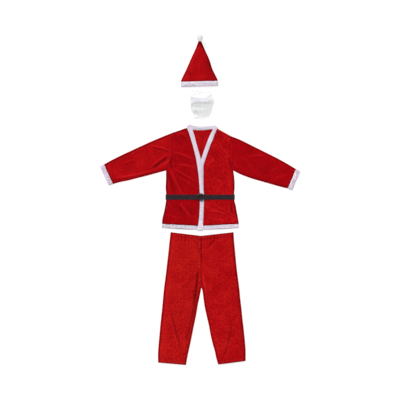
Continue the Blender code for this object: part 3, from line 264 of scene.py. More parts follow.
# ---------------------------------------------------------------- hat, from its band's bottom
HAT_EDGES = table(
    Edges,
    (0, -141, 133.5), (37.5, -142.5, 135), (50, -142, 132), (127.5, -105, 94.5),
    (202.5, -72, 70.5), (292.5, -31, 30.5), (330, -16.5, 14.5), (345, -11, 9), (360.5, -6.5, 5.5))
HAT_SKEW = 0.0085
HAT_BAND = 0.0375
HAT_TIP = 0.3585
TIP_RISES_FROM = 0.300
TIP_LIFT = 0.0155
POMPOM = Vector((0.0, 0.3660, 0.0240))
POMPOM_REACH = 0.0240
POMPOM_CORE = 0.0178
POMPOM_DRAWN = 1.16      # how much longer it is on the side of the hat
# Creases of no height only paint: a broad painted highlight on the left, and a painted highlight along
# the right edge by the tip, where the pompom's shadow falls.
HAT_CREASES = creases(
    (-150, -40, 0, 350, 0, 20, 0, 0.15), (34, 270, -8, 370, 0, 8, 0, 0.45),
    (-90, 128, -61, 75, -0.3, 5, -1.4, -0.4), (-106, 65, -78, 63, 5.3, 6, 1.6, 0.3),
    (44, 210, 90, 98, 4.9, 8, -1.6, -0.35), (-30, 278, -78, 150, 0.1, 9, 1.6, 0.2),
    (-52, 68, 68, 68, 4.5, 8, 1.4, 0.2), (-4, 203, -3, 98, 2.4, 7, 1, 0.1))

# ---------------------------------------------------------------- beard, from the mouth's middle
TOP_EDGE = spots((-83, 13), (-49, 4), (-11, 1.5), (24, 0), (49, 14), (73.5, 34))
TIPS = spots(
    (-86, -70), (-77, -104), (-66, -117), (-50, -121), (-30, -124), (-18, -150), (42, -150),
    (53.5, -148), (66, -120), (76.5, -97), (86, -64), (93, -50))
LOCKS_FROM = -0.024     # the chin's pointed locks, with half the width of one
LOCK_HALF = 0.0062
LOCKS = spots(
    (-17.5, -151), (-3.5, -159), (6, -184), (17.5, -156), (28.7, -164), (41, -149), (53.5, -150.5),
    (64, -132), (73.5, -112))
HairRow = namedtuple("HairRow", "name drop left right longest layer strands outward")
HAIR_ROWS = (
    HairRow("chin", -0.090, -0.066, 0.076, 0.100, 0, 520, (-0.002, -0.002)),
    HairRow("lower", -0.061, -0.077, 0.084, 0.080, 1, 580, (0.000, -0.004)),
    HairRow("middle", -0.031, -0.083, 0.092, 0.080, 1.85, 620, (0.001, -0.003)),
    HairRow("top", 0.000, -0.083, 0.0735, 0.074, 2.3, 600, (-0.003, 0.019)),
)
STRIP_WIDE = 0.0060
STRIP_DEEP = 0.0024
STRAND = 0.00036
LAYER = 0.0014
LAYER_RUN = 0.026
CURL_ROOT = -0.0530
CURL_DROP = 0.039
CURL_RADIUS = 0.0160
MOUSTACHE = (-0.058, 0.060)
MOUSTACHE_FAN = 34      # in degrees to either side
MOUSTACHE_LONG = (0.034, 0.041)
MOUSTACHE_CLIMB = 0.050

ELASTIC = 0.0012
CORD_CLEAR = 0.00005
CORD_STEP = 0.0025
ELASTIC_ROUTE = spots(
    (-84.5, 13), (-79, 16.5), (-51, 25), (-31.5, 29), (-13.5, 37.5), (-2, 41.5), (20, 42.5),
    (47, 43.5), (66, 42), (74.5, 35))
TAIL_ROUTE = spots((-11.8, 40.9), (-30, 47), (-51, 49), (-62, 53), (-71, 59))
KNOT = (-0.011, 0.0400)
KNOT_SIZE = 0.0026
KNOT_END = 0.022


# ---------------------------------------------------------------- small sums
def clamp(value, low=0.0, high=1.0):
    return max(low, min(high, value))


def soft(value):
    """A slope from 0 to 1 that starts and ends level."""
    value = clamp(value)
    return value * value * (3 - 2 * value)


def near(off, reach):
    """1 at a place, falling softly to 0 at a reach from it."""
    return soft(1 - off / reach)


def bell(off):
    """1 on a line, falling away evenly beside it."""
    return 2.7 ** -(off * off)


def uneven(x, y, z):
    """Chance between -1 and 1 that changes gently from place to place."""
    return noise.noise(Vector((x, y, z)))


def mix(a, b, share):
    return a + (b - a) * share


def read(rows, at, key, value):
    """The value at a place in a table, on a smooth line through its rows."""
    last = len(rows) - 1
    index = 0
    while index < last - 1 and at > key(rows[index + 1]):
        index += 1
    x0, x1 = key(rows[index]), key(rows[index + 1])
    y0, y1 = value(rows[index]), value(rows[index + 1])
    chord = (y1 - y0) / (x1 - x0)
    slope0 = slope1 = chord
    if index > 0:
        slope0 = (y1 - value(rows[index - 1])) / (x1 - key(rows[index - 1]))
    if index < last - 1:
        slope1 = (value(rows[index + 2]) - y0) / (key(rows[index + 2]) - x0)
    t, run = clamp((at - x0) / (x1 - x0)), x1 - x0
    bend = t * (slope0 + slope1 - 2 * chord)
    return y0 + run * t * (slope0 + t * (3 * chord - 2 * slope0 - slope1 + bend))


def edge_at(table, height, side):
    return read(table, height, lambda row: row.height, lambda row: getattr(row, side))


def line_at(points, at):
    return read(points, at, lambda row: row[0], lambda row: row[1])


def ramp_at(points, at):
    """The second number of a line of pairs, straight between them."""
    for before, after in zip(points, points[1:]):
        if at <= after[0]:
            break
    return mix(before[1], after[1], clamp((at - before[0]) / (after[0] - before[0])))


def path_at(points, share):
    """A place on the smooth line through some points, by its share of their number."""
    where = clamp(share) * (len(points) - 1)
    numbered = list(enumerate(points))
    return Vector([read(numbered, where, lambda row: row[0], lambda row: row[1][axis])
                   for axis in range(len(points[0]))])


def crease_lines(creases, x, y):
    """Each crease near a place, how many of its widths off its line that is, and its strength there."""
    for crease in creases:
        run_x, run_y = crease.x1 - crease.x0, crease.y1 - crease.y0
        length = hypot(run_x, run_y)
        off_x, off_y = x - crease.x0, y - crease.y0
        along = (off_x * run_x + off_y * run_y) / length**2
        if 0.0 < along < 1.0:
            away = (off_y * run_x - off_x * run_y) / length - 4 * crease.bow * along * (1 - along)
            if abs(away) < 4.5 * crease.wide:
                yield crease, away / crease.wide, soft(3.5 * along) * soft(3.5 - 3.5 * along)


def relief(creases, x, y):
    """How far the creases lift or lower the cloth here."""
    lift = 0.0
    for crease, away, fade in crease_lines(creases, x, y):
        lift += fade * crease.high * bell(away)
        if crease.dip:
            beside = away - (DIP_BESIDE if crease.dip > 0 else -DIP_BESIDE)
            lift -= fade * abs(crease.dip) * bell(beside / DIP_WIDE)
    return lift


def painted_crease_shading(creases, x, y):
    """Painted highlight along a crease's ridge and painted shade down in a fold, here."""
    return sum(fade * crease.nap * bell(away) for crease, away, fade in crease_lines(creases, x, y))


def painted_seam_shading(off):
    """Painted shade along a seam's line, with a painted highlight on the ridge of its allowance beside
    it.
    """
    return 0.15 * bell((off - 0.0115) / 0.005) - 0.22 * bell(off / 0.0045)


def painted_fold_shading(off):
    """Painted shade a little way in from a folded outline, and a painted highlight on the fold itself."""
    return 0.90 * near(off, 0.0036) - 1.15 * near(abs(off - 0.0070), 0.0068)


def waves(x, y, salt=0.0):
    """The soft unevenness of cloth that has been folded away and laid out again."""
    broad = uneven(x * 7, y * 6, salt)
    middle = uneven(x * 19 + y * 9, y * 15 - x * 6, salt + 5)
    return 0.0014 * broad + 0.0010 * middle + 0.00030 * uneven(x * 52, y * 46, salt + 9)


# ---------------------------------------------------------------- shader maths
Look = namedtuple("Look", "material slot")


class Socket:
    """A socket whose sums add Math nodes to its tree."""

    def __init__(self, paint, out):
        self.paint = paint
        self.out = out

    def sum(self, operation, other):
        return self.paint.add("Math", {"operation": operation}, {0: self, 1: other})

    def __add__(self, other):
        return self.sum("ADD", other)

    def __mul__(self, other):
        return self.sum("MULTIPLY", other)

    __radd__ = __add__
    __rmul__ = __mul__


class Paint:
    """One material's node tree, and the name of a library slot that it keeps."""

    def __init__(self, name, slot):
        self.slot = slot
        self.material = bpy.data.materials.new(name)
        self.material.use_nodes = True
        self.tree = self.material.node_tree
        self.tree.nodes.clear()

    def add(self, kind, settings=None, inputs=None, out=0):
        """A node with its settings made and its sockets filled; gives one of its outputs."""
        node = self.tree.nodes.new("ShaderNode" + kind)
        for name, value in (settings or {}).items():
            setattr(node, name, value)
        for name, value in (inputs or {}).items():
            if isinstance(value, Socket):
                self.tree.links.new(value.out, node.inputs[name])
            else:
                node.inputs[name].default_value = value
        return Socket(self, node.outputs[out]) if node.outputs else None

    def place(self, turn=0.0, stretch=(1, 1, 1)):
        """Object coordinates, turned about Z in degrees, with patterns drawn out by the stretches."""
        where = self.add("TexCoord", out="Object")
        return self.add("Mapping", {"vector_type": "TEXTURE"},
                        {"Vector": where, "Rotation": (0, 0, radians(turn)), "Scale": stretch})

    def noise(self, where, scale, detail=3.0, rough=0.5):
        return self.add("TexNoise", None,
                        {"Vector": where, "Scale": scale, "Detail": detail, "Roughness": rough}, "Fac")

    def wave(self, where, scale, axis="X"):
        return self.add("TexWave", {"bands_direction": axis, "wave_profile": "SIN"},
                        {"Vector": where, "Scale": scale, "Distortion": 0.0}, "Fac")

    def spread(self, value, low, high):
        """A value stretched so that low becomes 0 and high becomes 1."""
        return self.add("MapRange", {"clamp": True}, {0: value, 1: low, 2: high, 3: 0.0, 4: 1.0})

    def blend(self, share, first, second):
        """A colour between two, by a share."""
        colours = {6: first if isinstance(first, Socket) else (*first, 1.0),
                   7: second if isinstance(second, Socket) else (*second, 1.0)}
        return self.add("Mix", {"data_type": "RGBA"}, {0: share, **colours}, 2)

    def bump(self, height, distance, strength=1.0, under=None):
        sockets = {"Height": height, "Distance": distance, "Strength": strength}
        if under:
            sockets["Normal"] = under
        return self.add("Bump", None, sockets)

    def finish(self, colour, roughness, normal=None, **constants):
        """The surface, with its constant sockets set on the shader itself."""
        sockets = {"Base Color": colour, "Roughness": roughness}
        if normal:
            sockets["Normal"] = normal
        sockets.update({name.replace("_", " "): value for name, value in constants.items()})
        shader = self.add("BsdfPrincipled", None, sockets)
        self.add("OutputMaterial", None, {"Surface": shader})
        return Look(self.material, self.slot)


DEEP_RED = (0.235, 0.0004, 0.0020)
RED = (0.395, 0.0012, 0.0042)
# this bright red tints the random mottle and is also the colour of painted highlight
BRIGHT_RED = (0.610, 0.0105, 0.0120)
# the colour of painted shade in folds, creases and beside seams
PAINTED_SHADE_RED = (0.090, 0.0008, 0.0020)


def velour(name, turn, tone=0.5, mottled=0.3, warm=1.0, fine=105.0, patchy=0.20, drawn=2.0):
    """Brushed velour. Its pile leans unevenly, which mottles it along the way it was brushed, and it
    takes painted highlight and painted shade from its cloth's layer.
    """
    paint = Paint(name, "red_velour")
    where = paint.place(turn)
    along = paint.place(turn, (1.0, drawn, 1.0))
    patches = paint.noise(where, 9.0, 2.0)
    mottle = paint.noise(along, fine, 3.0, 0.60)
    streaks = paint.noise(along, 300.0, 2.0, 0.5)
    fibre = paint.noise(where, 1900.0, 2.0, 0.6)
    nap = paint.add("Attribute", {"attribute_name": "nap"}, out="Fac")
    lean = patchy * patches + mottled * mottle + 0.18 * streaks + (tone - 0.09 - 0.5 * (patchy + mottled))
    red, bright = ((shade[0], shade[1] * warm, shade[2]) for shade in (RED, BRIGHT_RED))
    colour = paint.blend(paint.spread(lean, 0.36, 0.51), DEEP_RED, red)
    colour = paint.blend(paint.spread(lean, 0.50, 0.68) * 0.80, colour, bright)
    # painted highlight where the cloth's layer is positive, painted shade towards the darkest red where
    # it is negative
    colour = paint.blend(paint.spread(nap, 0.0, 1.0) * 0.85, colour, BRIGHT_RED)
    colour = paint.blend(paint.spread(nap, 0.0, -1.0) * 0.85, colour, PAINTED_SHADE_RED)
    pile = paint.bump(fibre, 0.0006, 0.35)
    pile = paint.bump(mottle + 0.5 * streaks, 0.0030, 0.15 + 0.9 * mottled, pile)
    return paint.finish(colour, 0.62 + 0.22 * mottle, pile, Sheen_Weight=0.12, Sheen_Roughness=0.35,
                        Sheen_Tint=(1.0, 0.06, 0.06, 1.0), Specular_IOR_Level=0.03)


def plush(name, white, shade, painted_glow=0.0):
    """Short white pile that lies in small clumps. Its glow is painted light, which lifts the side that
    faces away from the lamps.
    """
    paint = Paint(name, "white_plush")
    where = paint.place()
    clumps = paint.noise(where, 150.0, 3.0, 0.6)
    fibre = paint.noise(where, 1300.0, 2.0, 0.6)
    stain = paint.noise(where, 14.0, 2.0)
    # darker where the clumps' bump is low: painted shade in the hollows between them
    colour = paint.blend(paint.spread(0.7 * clumps + 0.3 * fibre, 0.36, 0.60), shade, white)
    colour = paint.blend(paint.spread(stain, 0.45, 0.75) * 0.35, colour, (0.66, 0.66, 0.72))
    pile = paint.bump(fibre, 0.0006, 0.5)
    pile = paint.bump(clumps, 0.0030, 0.6, pile)
    return paint.finish(colour, 0.85 + 0.1 * fibre, pile, Sheen_Weight=0.25, Sheen_Roughness=0.5,
                        Specular_IOR_Level=0.2, Emission_Color=(*white, 1.0), Emission_Strength=painted_glow)


def hair(name, roots, low, high, tips=None):
    """Fine synthetic hair: pale, a little shiny, with painted shade at its roots and uneven from lock to
    lock.
    """
    paint = Paint(name, "white_hair")
    where = paint.place(0, (1.0, 16.0, 1.0))
    locks = paint.noise(where, 75.0, 3.0)
    fibre = paint.noise(where, 1500.0, 2.0)
    along = paint.add("Attribute", {"attribute_name": "along"}, out="Fac")
    colour = paint.blend(paint.spread(locks, 0.35, 0.65), low, high)
    # painted shade darkens the roots, where the strands rise towards the key light
    colour = paint.blend(paint.spread(along, 0.05, 0.60), roots, colour)
    if tips:
        colour = paint.blend(paint.spread(along, 0.65, 0.95), colour, tips)
    return paint.finish(colour, 0.56 + 0.2 * fibre, paint.bump(fibre, 0.0004, 0.3),
                        Specular_IOR_Level=0.2, Sheen_Weight=0.1)


def webbing(name, turn):
    """Belt webbing: a close weave with a faint shine."""
    paint = Paint(name, "black_webbing")
    where = paint.place(turn)
    warp = paint.wave(where, 190.0, "Y")
    weft = paint.wave(where, 150.0, "X")
    worn = paint.noise(where, 30.0, 3.0)
    weave = warp * weft
    colour = paint.blend(0.6 * weave + 0.5 * worn, (0.010, 0.005, 0.008), (0.044, 0.024, 0.033))
    return paint.finish(colour, 0.50 + 0.2 * weave, paint.bump(weave, 0.0009, 0.6),
                        Specular_IOR_Level=0.15)


def plastic():
    """Moulded plastic with a satin skin and faint flow marks."""
    paint = Paint("satin_black_plastic", "black_plastic")
    where = paint.place()
    grain = paint.noise(where, 700.0, 2.0)
    flow = paint.noise(where, 40.0, 2.0)
    colour = paint.blend(flow, (0.010, 0.010, 0.011), (0.022, 0.022, 0.023))
    return paint.finish(colour, 0.30 + 0.14 * grain, paint.bump(grain, 0.0002, 0.4),
                        Specular_IOR_Level=0.5)


def covered_elastic():
    """Round elastic with a braided cover."""
    paint = Paint("braided_elastic", "white_elastic")
    left = paint.wave(paint.place(38), 420.0)
    right = paint.wave(paint.place(-38), 420.0)
    braid = left * right
    # a white cord painted dark grey-green: painted shade that stands in for its shading against the floor
    colour = paint.blend(braid, (0.20, 0.21, 0.17), (0.32, 0.33, 0.27))
    return paint.finish(colour, 0.6 + 0.1 * braid, paint.bump(braid, 0.0004, 0.6))


def thread(name, colour):
    """Sewing thread, with the twist of its ply."""
    paint = Paint(name, "red_velour")
    ply = paint.wave(paint.place(30), 900.0)
    return paint.finish(paint.blend(ply, [0.72 * part for part in colour], colour), 0.55 + 0.1 * ply,
                        paint.bump(ply, 0.0002, 0.5))


def paper():
    """The pale floor."""
    paint = Paint("pale_floor", None)
    grain = paint.noise(paint.place(), 3.0, 2.0)
    return paint.finish(paint.blend(grain, (0.19, 0.19, 0.19), (0.21, 0.21, 0.21)), 0.9 + 0.05 * grain,
                        None, Specular_IOR_Level=0.0, Emission_Color=(1, 1, 1, 1), Emission_Strength=0.85)


# ---------------------------------------------------------------- camera, then cords
LENS, FILM = 85, 36     # in millimetres
VIEW_WIDE = 3.0         # across the floor
EYE_Y = -0.0011


def put(name, data):
    """A new object in the scene."""
    thing = bpy.data.objects.new(name, data)
    bpy.context.collection.objects.link(thing)
    return thing


def make_camera():
    data = bpy.data.cameras.new("camera")
    data.lens, data.sensor_width = LENS, FILM
    camera = put("camera", data)
    camera.location = (0.0, EYE_Y, VIEW_WIDE * LENS / FILM)
    bpy.context.scene.camera = camera


def stand_in(name, data, look, *nodes):
    """A piece of the suit in its look, in place of its CAD nodes."""
    data.materials.append(look.material)
    piece = put(name, data)
    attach(piece, "root")
    if nodes:
        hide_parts(*nodes)
    return piece


def on_floor(at, x, y, z=0.0):
    """A place of a garment's own, in the scene."""
    return Vector((x + at.x, y + at.y, z))


def smooth_line(points, step):
    """Points about a step apart on a smooth curve through the given ones."""
    ends = [2 * points[0] - points[1], *points, 2 * points[-1] - points[-2]]
    fine = []
    for before, start, stop, after in zip(ends, ends[1:], ends[2:], ends[3:]):
        for part in range(16):
            t = part / 16
            fine.append(0.5 * (2 * start + (stop - before) * t
                               + (2 * before - 5 * start + 4 * stop - after) * t * t
                               + (3 * start - before - 3 * stop + after) * t**3))
    fine.append(points[-1])
    lengths = [0.0]
    for before, after in zip(fine, fine[1:]):
        lengths.append(lengths[-1] + (after - before).length)
    count = max(2, round(lengths[-1] / step))
    places, index = [], 0
    for part in range(count + 1):
        wanted = lengths[-1] * part / count
        while index < len(fine) - 2 and lengths[index + 1] < wanted:
            index += 1
        share = (wanted - lengths[index]) / (lengths[index + 1] - lengths[index])
        places.append(fine[index].lerp(fine[index + 1], clamp(share)))
    return places, lengths[-1]


def make_cord(name, route):
    """A stretch of the beard's elastic."""
    points = [on_floor(BEARD_AT, x, y, ELASTIC / 2 + CORD_CLEAR) for x, y in route]
    places, length = smooth_line(points, CORD_STEP)
    curve = bpy.data.curves.new(name, "CURVE")
    curve.dimensions = "3D"
    curve.bevel_depth = ELASTIC / 2
    curve.bevel_resolution = 3
    curve.use_fill_caps = True
    spline = curve.splines.new("POLY")
    spline.points.add(len(places) - 1)
    for dot, place in zip(spline.points, places):
        dot.co = (*place, 1.0)
    piece = stand_in(name, curve, ELASTIC_COVER, "beard_" + name)


# ---------------------------------------------------------------- making pieces
def face_out(mesh):
    """Turns the faces of a closed mesh outwards."""
    if mesh.calc_volume(signed=True) < 0:
        bmesh.ops.reverse_faces(mesh, faces=mesh.faces)


def doubled(mesh):
    """Gives a sheet a second side, joined to it all round; the corners of that side."""
    made = bmesh.ops.extrude_face_region(mesh, geom=mesh.faces[:])["geom"]
    return {part for part in made if isinstance(part, bmesh.types.BMVert)}


def keep(name, mesh, look, *nodes):
    """Turns a bmesh into a piece of the suit."""
    face_out(mesh)
    data = bpy.data.meshes.new(name)
    mesh.to_mesh(data)
    mesh.free()
    data.shade_smooth()
    data.set_sharp_from_angle(angle=radians(60))
    return stand_in(name, data, look, *nodes)


def in_order(faces):
    """Faces in the order of where they are, so that chance always falls on them the same way."""
    return sorted(faces, key=lambda face: tuple(face.calc_center_median()))


def grow_pile(mesh, faces, seed, long):
    """Draws each face out into a tuft of pile that leans its own way."""
    chance = random.Random(seed)
    for face in in_order(bmesh.ops.extrude_discrete_faces(mesh, faces=faces)["faces"]):
        middle, normal = face.calc_center_median(), face.normal.copy()
        lean = Vector((chance.uniform(-1, 1), chance.uniform(-1, 1), chance.uniform(-0.4, 0.4)))
        tip = middle + (normal + lean * 0.95).normalized() * long * chance.uniform(0.55, 1.15)
        turn = Matrix.Rotation(chance.uniform(-0.6, 0.6), 3, normal)
        size = chance.uniform(0.30, 0.75)
        for vert in face.verts:
            vert.co = tip + turn @ (vert.co - middle) * size
            vert.co.z = max(vert.co.z, LOWEST_TUFT)


def cloth(name, columns, rows, place, at, look, node, closed_rows=0, pile=None):
    """A wall of cloth: a grid, thickened, whose corners go where place(column, row, depth) says.

    A fourth number from place is the painted highlight there, or the painted shade where it is negative.
    """
    mesh = bmesh.new()
    step = mesh.verts.layers.int.new("step")
    # this layer carries painted highlight and painted shade into the velour's colour
    lean = mesh.verts.layers.float.new("nap")
    bmesh.ops.create_grid(mesh, x_segments=columns, y_segments=rows, size=0.5)
    lines = {}
    for vert in mesh.verts:
        lines[round((vert.co.x + 0.5) * columns), round((vert.co.y + 0.5) * rows)] = vert
    if closed_rows:
        sewn = {lines.pop((columns, row)): lines[0, row] for row in range(closed_rows + 1)}
        bmesh.ops.weld_verts(mesh, targetmap=sewn)
    for (column, row), vert in lines.items():
        vert[step] = column + row * (columns + 1)
    inner = doubled(mesh)
    for vert in mesh.verts:
        row, column = divmod(vert[step], columns + 1)
        x, y, z, *nap = place(column, row, 1 if vert in inner else 0)
        vert.co = on_floor(at, x, y, z)
        vert[lean] = nap[0] if nap else 0.0
    face_out(mesh)
    if pile:
        mesh.normal_update()
        shown = [face for face in mesh.faces if not all(vert in inner for vert in face.verts)]
        grow_pile(mesh, shown, name, pile)
    return keep(name, mesh, look, node)


Lay = namedtuple("Lay", "thick fold top floor pile nap", defaults=(lambda x, y, in_edge, ends: 0.0,
                                                                   lambda x, y: 0.0, None, None))


def flat_tube(name, point, rows, tops, lows, lay, at, look, node, closed_rows=None):
    """A tube that lies flat. point(row, share) is a place between its two edges, 0 to 1 across.

    lay.top gives how far the upper layer stands over its folded edges. Rows past closed_rows are
    open along the first edge, where the two layers end at another piece's seam.
    """
    closed_rows = rows if closed_rows is None else closed_rows
    ring = [("near", turn) for turn in (0, -30, -60, -90)]
    ring += [("low", step / lows) for step in range(1, lows)]
    ring += [("far", turn) for turn in range(-90, 91, 30)]
    ring += [("top", 1 - step / tops) for step in range(1, tops)]
    ring += [("near", turn) for turn in (90, 60, 30, 0)]
    radius = lay.fold / 2

    def place(column, row, depth):
        kind, value = ring[column]
        inset = depth * lay.thick
        first, last = Vector(point(row, 0.0)), Vector(point(row, 1.0))
        width = (last - first).length
        open_here = row > closed_rows
        if kind == "far" or (kind == "near" and not open_here):
            turn = radians(value)
            back = (radius - (radius - inset) * cos(turn)) / width
            x, y = point(row, back if kind == "near" else 1 - back)
            return x, y, lay.floor(x, y) + radius + (radius - inset) * sin(turn), painted_fold_shading(0.0)
        upper, share = kind == "top", value
        if kind == "near":
            upper = value > 0 or (value == 0 and column > 0)
            share = radius / width * abs(value) / 90
        x, y = point(row, share)
        if not upper:
            return x, y, lay.floor(x, y) + inset, 0.0
        in_edge = ((1 - share) * width if open_here else min(share, 1 - share) * width) - radius
        in_edge = max(0.0, in_edge)
        ends = [(Vector(point(end, share)) - Vector((x, y))).length for end in (0, rows)]
        nap = lay.nap(x, y, in_edge, ends) if lay.nap else 0.0
        return x, y, lay.floor(x, y) + lay.fold + lay.top(x, y, in_edge, ends) - inset, nap

    return cloth(name, len(ring) - 1, rows, place, at, look, node, closed_rows, lay.pile)


def plush_top(roll_wide, salt):
    """The upper face of a flat tube of plush, which rolls off at its two ends."""
    def top(x, y, in_edge, ends):
        roll = END_ROLL * (near(ends[0], roll_wide) + near(ends[1], roll_wide))
        return soft(in_edge / PLUSH_EASE) * (PLUSH_LOFT + waves(x * 2, y * 2, salt)) - roll
    return top


def stitches(name, line):
    """A row of stitches along a line of points on the trousers."""
    places, _ = smooth_line([on_floor(TROUSERS_AT, *place) for place in line], STITCH_PITCH)
    mesh = bmesh.new()
    size = Matrix.Diagonal((STITCH, THREAD, THREAD, 1.0))
    for here, ahead in zip(places, places[1:]):
        way = ahead - here
        turn = Matrix.Rotation(atan2(way.y, way.x), 4, "Z")
        middle = Matrix.Translation((here + ahead) / 2)
        bmesh.ops.create_cube(mesh, size=1.0, matrix=middle @ turn @ size)
    bmesh.ops.bevel(mesh, geom=mesh.edges[:], offset=THREAD * 0.28, segments=1, affect="EDGES",
                    profile=0.5, material=-1)
    keep(name, mesh, RED_THREAD)


# ---------------------------------------------------------------- hat
def hat_point(height_of):
    """Places across the hat, at the height that a row has."""
    def point(row, share):
        height = height_of(row)
        skew = HAT_SKEW * clamp(1 - height / HAT_TIP)
        left, right = edge_at(HAT_EDGES, height, "left"), edge_at(HAT_EDGES, height, "right")
        return Vector((mix(left, right, share), height + skew * share))
    return point


def hat_floor(_, y):
    """How far the hat's tip is lifted by its pompom."""
    return TIP_LIFT * soft((y - TIP_RISES_FROM) / (HAT_TIP - TIP_RISES_FROM))


def make_hat():
    def cone_top(x, y, in_edge, ends):
        full = soft(in_edge / EASE)
        gathered = 0.0010 * sin(x * 420 + 2 * uneven(x * 30, 0, 3)) * near(ends[0], 0.045)
        calm = soft((HAT_TIP - y) / 0.12)
        lift = LOFT + (relief(HAT_CREASES, x, y) + waves(x, y, 2.0)) * calm + gathered
        return full * max(LOWEST_LIFT, lift)

    def cone_painted_shading(x, y, in_edge, ends):
        # painted shade beside the band and down the hat's right side, and painted fold shade that fades
        # near the tip
        shadow = -SEAM_SHADE * near(ends[0], 0.0120) - 0.22 * soft((x - 0.010) / 0.05)
        fold = painted_fold_shading(in_edge) * mix(0.15, 1.0, soft((HAT_TIP - y) / 0.075))
        return fold + painted_crease_shading(HAT_CREASES, x, y) + shadow

    rows, band_rows = 72, 13
    cone_point = hat_point(lambda row: mix(HAT_BAND + SEAM, HAT_TIP, row / rows))
    cone = flat_tube("hat_velour", cone_point, rows, TOPS + 2, LOWS,
                     Lay(CLOTH, FOLD, cone_top, hat_floor, nap=cone_painted_shading), HAT_AT, VELOURS["hat"],
                     "hat_cone")
    band_point = hat_point(lambda row: HAT_BAND * row / band_rows)
    band = flat_tube("hat_plush_band", band_point, band_rows, 92, 46,
                     Lay(PLUSH, PLUSH_FOLD, plush_top(0.010, 6.0), pile=LONG_TUFT), HAT_AT,
                     WHITE_PLUSH, "hat_band")
    pompom = make_pompom()


def make_pompom():
    """A ball of fluffy yarn ends round a core, bare where the hat's tip is sewn to it."""
    chance = random.Random(4)
    mesh = bmesh.new()
    bmesh.ops.create_icosphere(mesh, subdivisions=4, radius=POMPOM_CORE)
    to_tip = Vector((0.0, -0.80, -0.60))
    fluffy = [face for face in mesh.faces if face.calc_center_median().normalized().angle(to_tip) > 0.62]
    for share, width in ((0.55, 1.15), (1.0, 0.95)):
        fluffy = bmesh.ops.extrude_discrete_faces(mesh, faces=fluffy)["faces"]
        for face in in_order(fluffy):
            middle = face.calc_center_median()
            lean = Vector([chance.uniform(-0.13, 0.13) for _ in range(3)])
            reach = mix(POMPOM_CORE, POMPOM_REACH * chance.uniform(0.90, 1.0), share)
            tip = (middle.normalized() + lean).normalized() * reach
            for vert in face.verts:
                vert.co = tip + (vert.co - middle) * width
                vert.co.z = max(vert.co.z, 0.0004 - POMPOM.z)
    for vert in mesh.verts:
        vert.co.y *= POMPOM_DRAWN if vert.co.y < 0 else 1.0
    bmesh.ops.translate(mesh, verts=mesh.verts, vec=on_floor(HAT_AT, *POMPOM))
    return keep("hat_yarn_pompom", mesh, FLUFF, "hat_pompom")


# ---------------------------------------------------------------- beard
def strip_line(row, x):
    return row.drop + line_at(TOP_EDGE, x) * (1 + row.drop / 0.12) - STRIP_WIDE


def backing(columns, line, wide, low):
    """A narrow knitted strip, and the faces of its lower side that hair grows from."""
    mesh = bmesh.new()
    column_of = mesh.verts.layers.int.new("column")
    mesh.verts.layers.float.new("along")
    mesh.faces.layers.int.new("strand")
    bmesh.ops.create_grid(mesh, x_segments=columns, y_segments=1, size=0.5)
    for vert in mesh.verts:
        vert[column_of] = round((vert.co.x + 0.5) * columns)
    under = doubled(mesh)
    lower = {vert for vert in mesh.verts if vert.co.y < 0}
    for vert in mesh.verts:
        x, y = line(vert[column_of] / columns)
        vert.co = (x, y if vert in lower else y + wide, low if vert in under else low + STRIP_DEEP)
    fronts = [face for face in mesh.faces if all(vert in lower for vert in face.verts)]
    return mesh, sorted(fronts, key=lambda face: face.calc_center_median().x)


def grow_hair(mesh, roots, centres, wide, deep, steps, taper=0.75):
    """Draws a strand out of each root. Each follows its own centre line and thins to its tip."""
    strand = mesh.faces.layers.int["strand"]
    run_at = mesh.verts.layers.float["along"]
    for index, face in enumerate(roots):
        face[strand] = index
    faces = roots
    for step in range(1, steps + 1):
        along = step / steps
        thin = 1 - taper * along**2
        faces = bmesh.ops.extrude_discrete_faces(mesh, faces=faces)["faces"]
        for face in faces:
            centre = centres[face[strand]]
            here, ahead = centre(along), centre(along + 0.01)
            heading = atan2(ahead.y - here.y, ahead.x - here.x)
            sideways = Vector((-sin(heading), cos(heading), 0.0))
            middle = face.calc_center_median()
            corners = [(1 if (vert.co - middle).dot(sideways) > 0 else -1,
                        1 if vert.co.z > middle.z else -1) for vert in face.verts]
            for vert, (side, level) in zip(face.verts, corners):
                vert.co = here + sideways * side * wide * thin + Vector((0, 0, level * deep * thin))
                vert.co.z = max(vert.co.z, LOWEST_HAIR)
                vert[run_at] = along


def make_hair(name, strip, centre_of, strands, look, *nodes):
    """Hair on a strip, each strand along the line that centre_of(index, root) gives.

    strip says how many strands it has, its lower edge, its width and its height; strands say how
    wide and how deep they are, and in how many steps they are drawn out.
    """
    mesh, roots = backing(*strip)
    centres = [centre_of(index, face.calc_center_median()) for index, face in enumerate(roots)]
    grow_hair(mesh, roots, centres, *strands)
    bmesh.ops.translate(mesh, verts=mesh.verts, vec=(*BEARD_AT, 0.0))
    keep(name, mesh, look, *nodes)


def nearest_lock(x):
    """The pointed lock that hair at this place on the chin gathers into, with its tip and half width."""
    lock = min(LOCKS, key=lambda tip: abs(tip[0] - x))
    return lock[0], lock[1], min(1.0, abs(x - lock[0]) / LOCK_HALF)


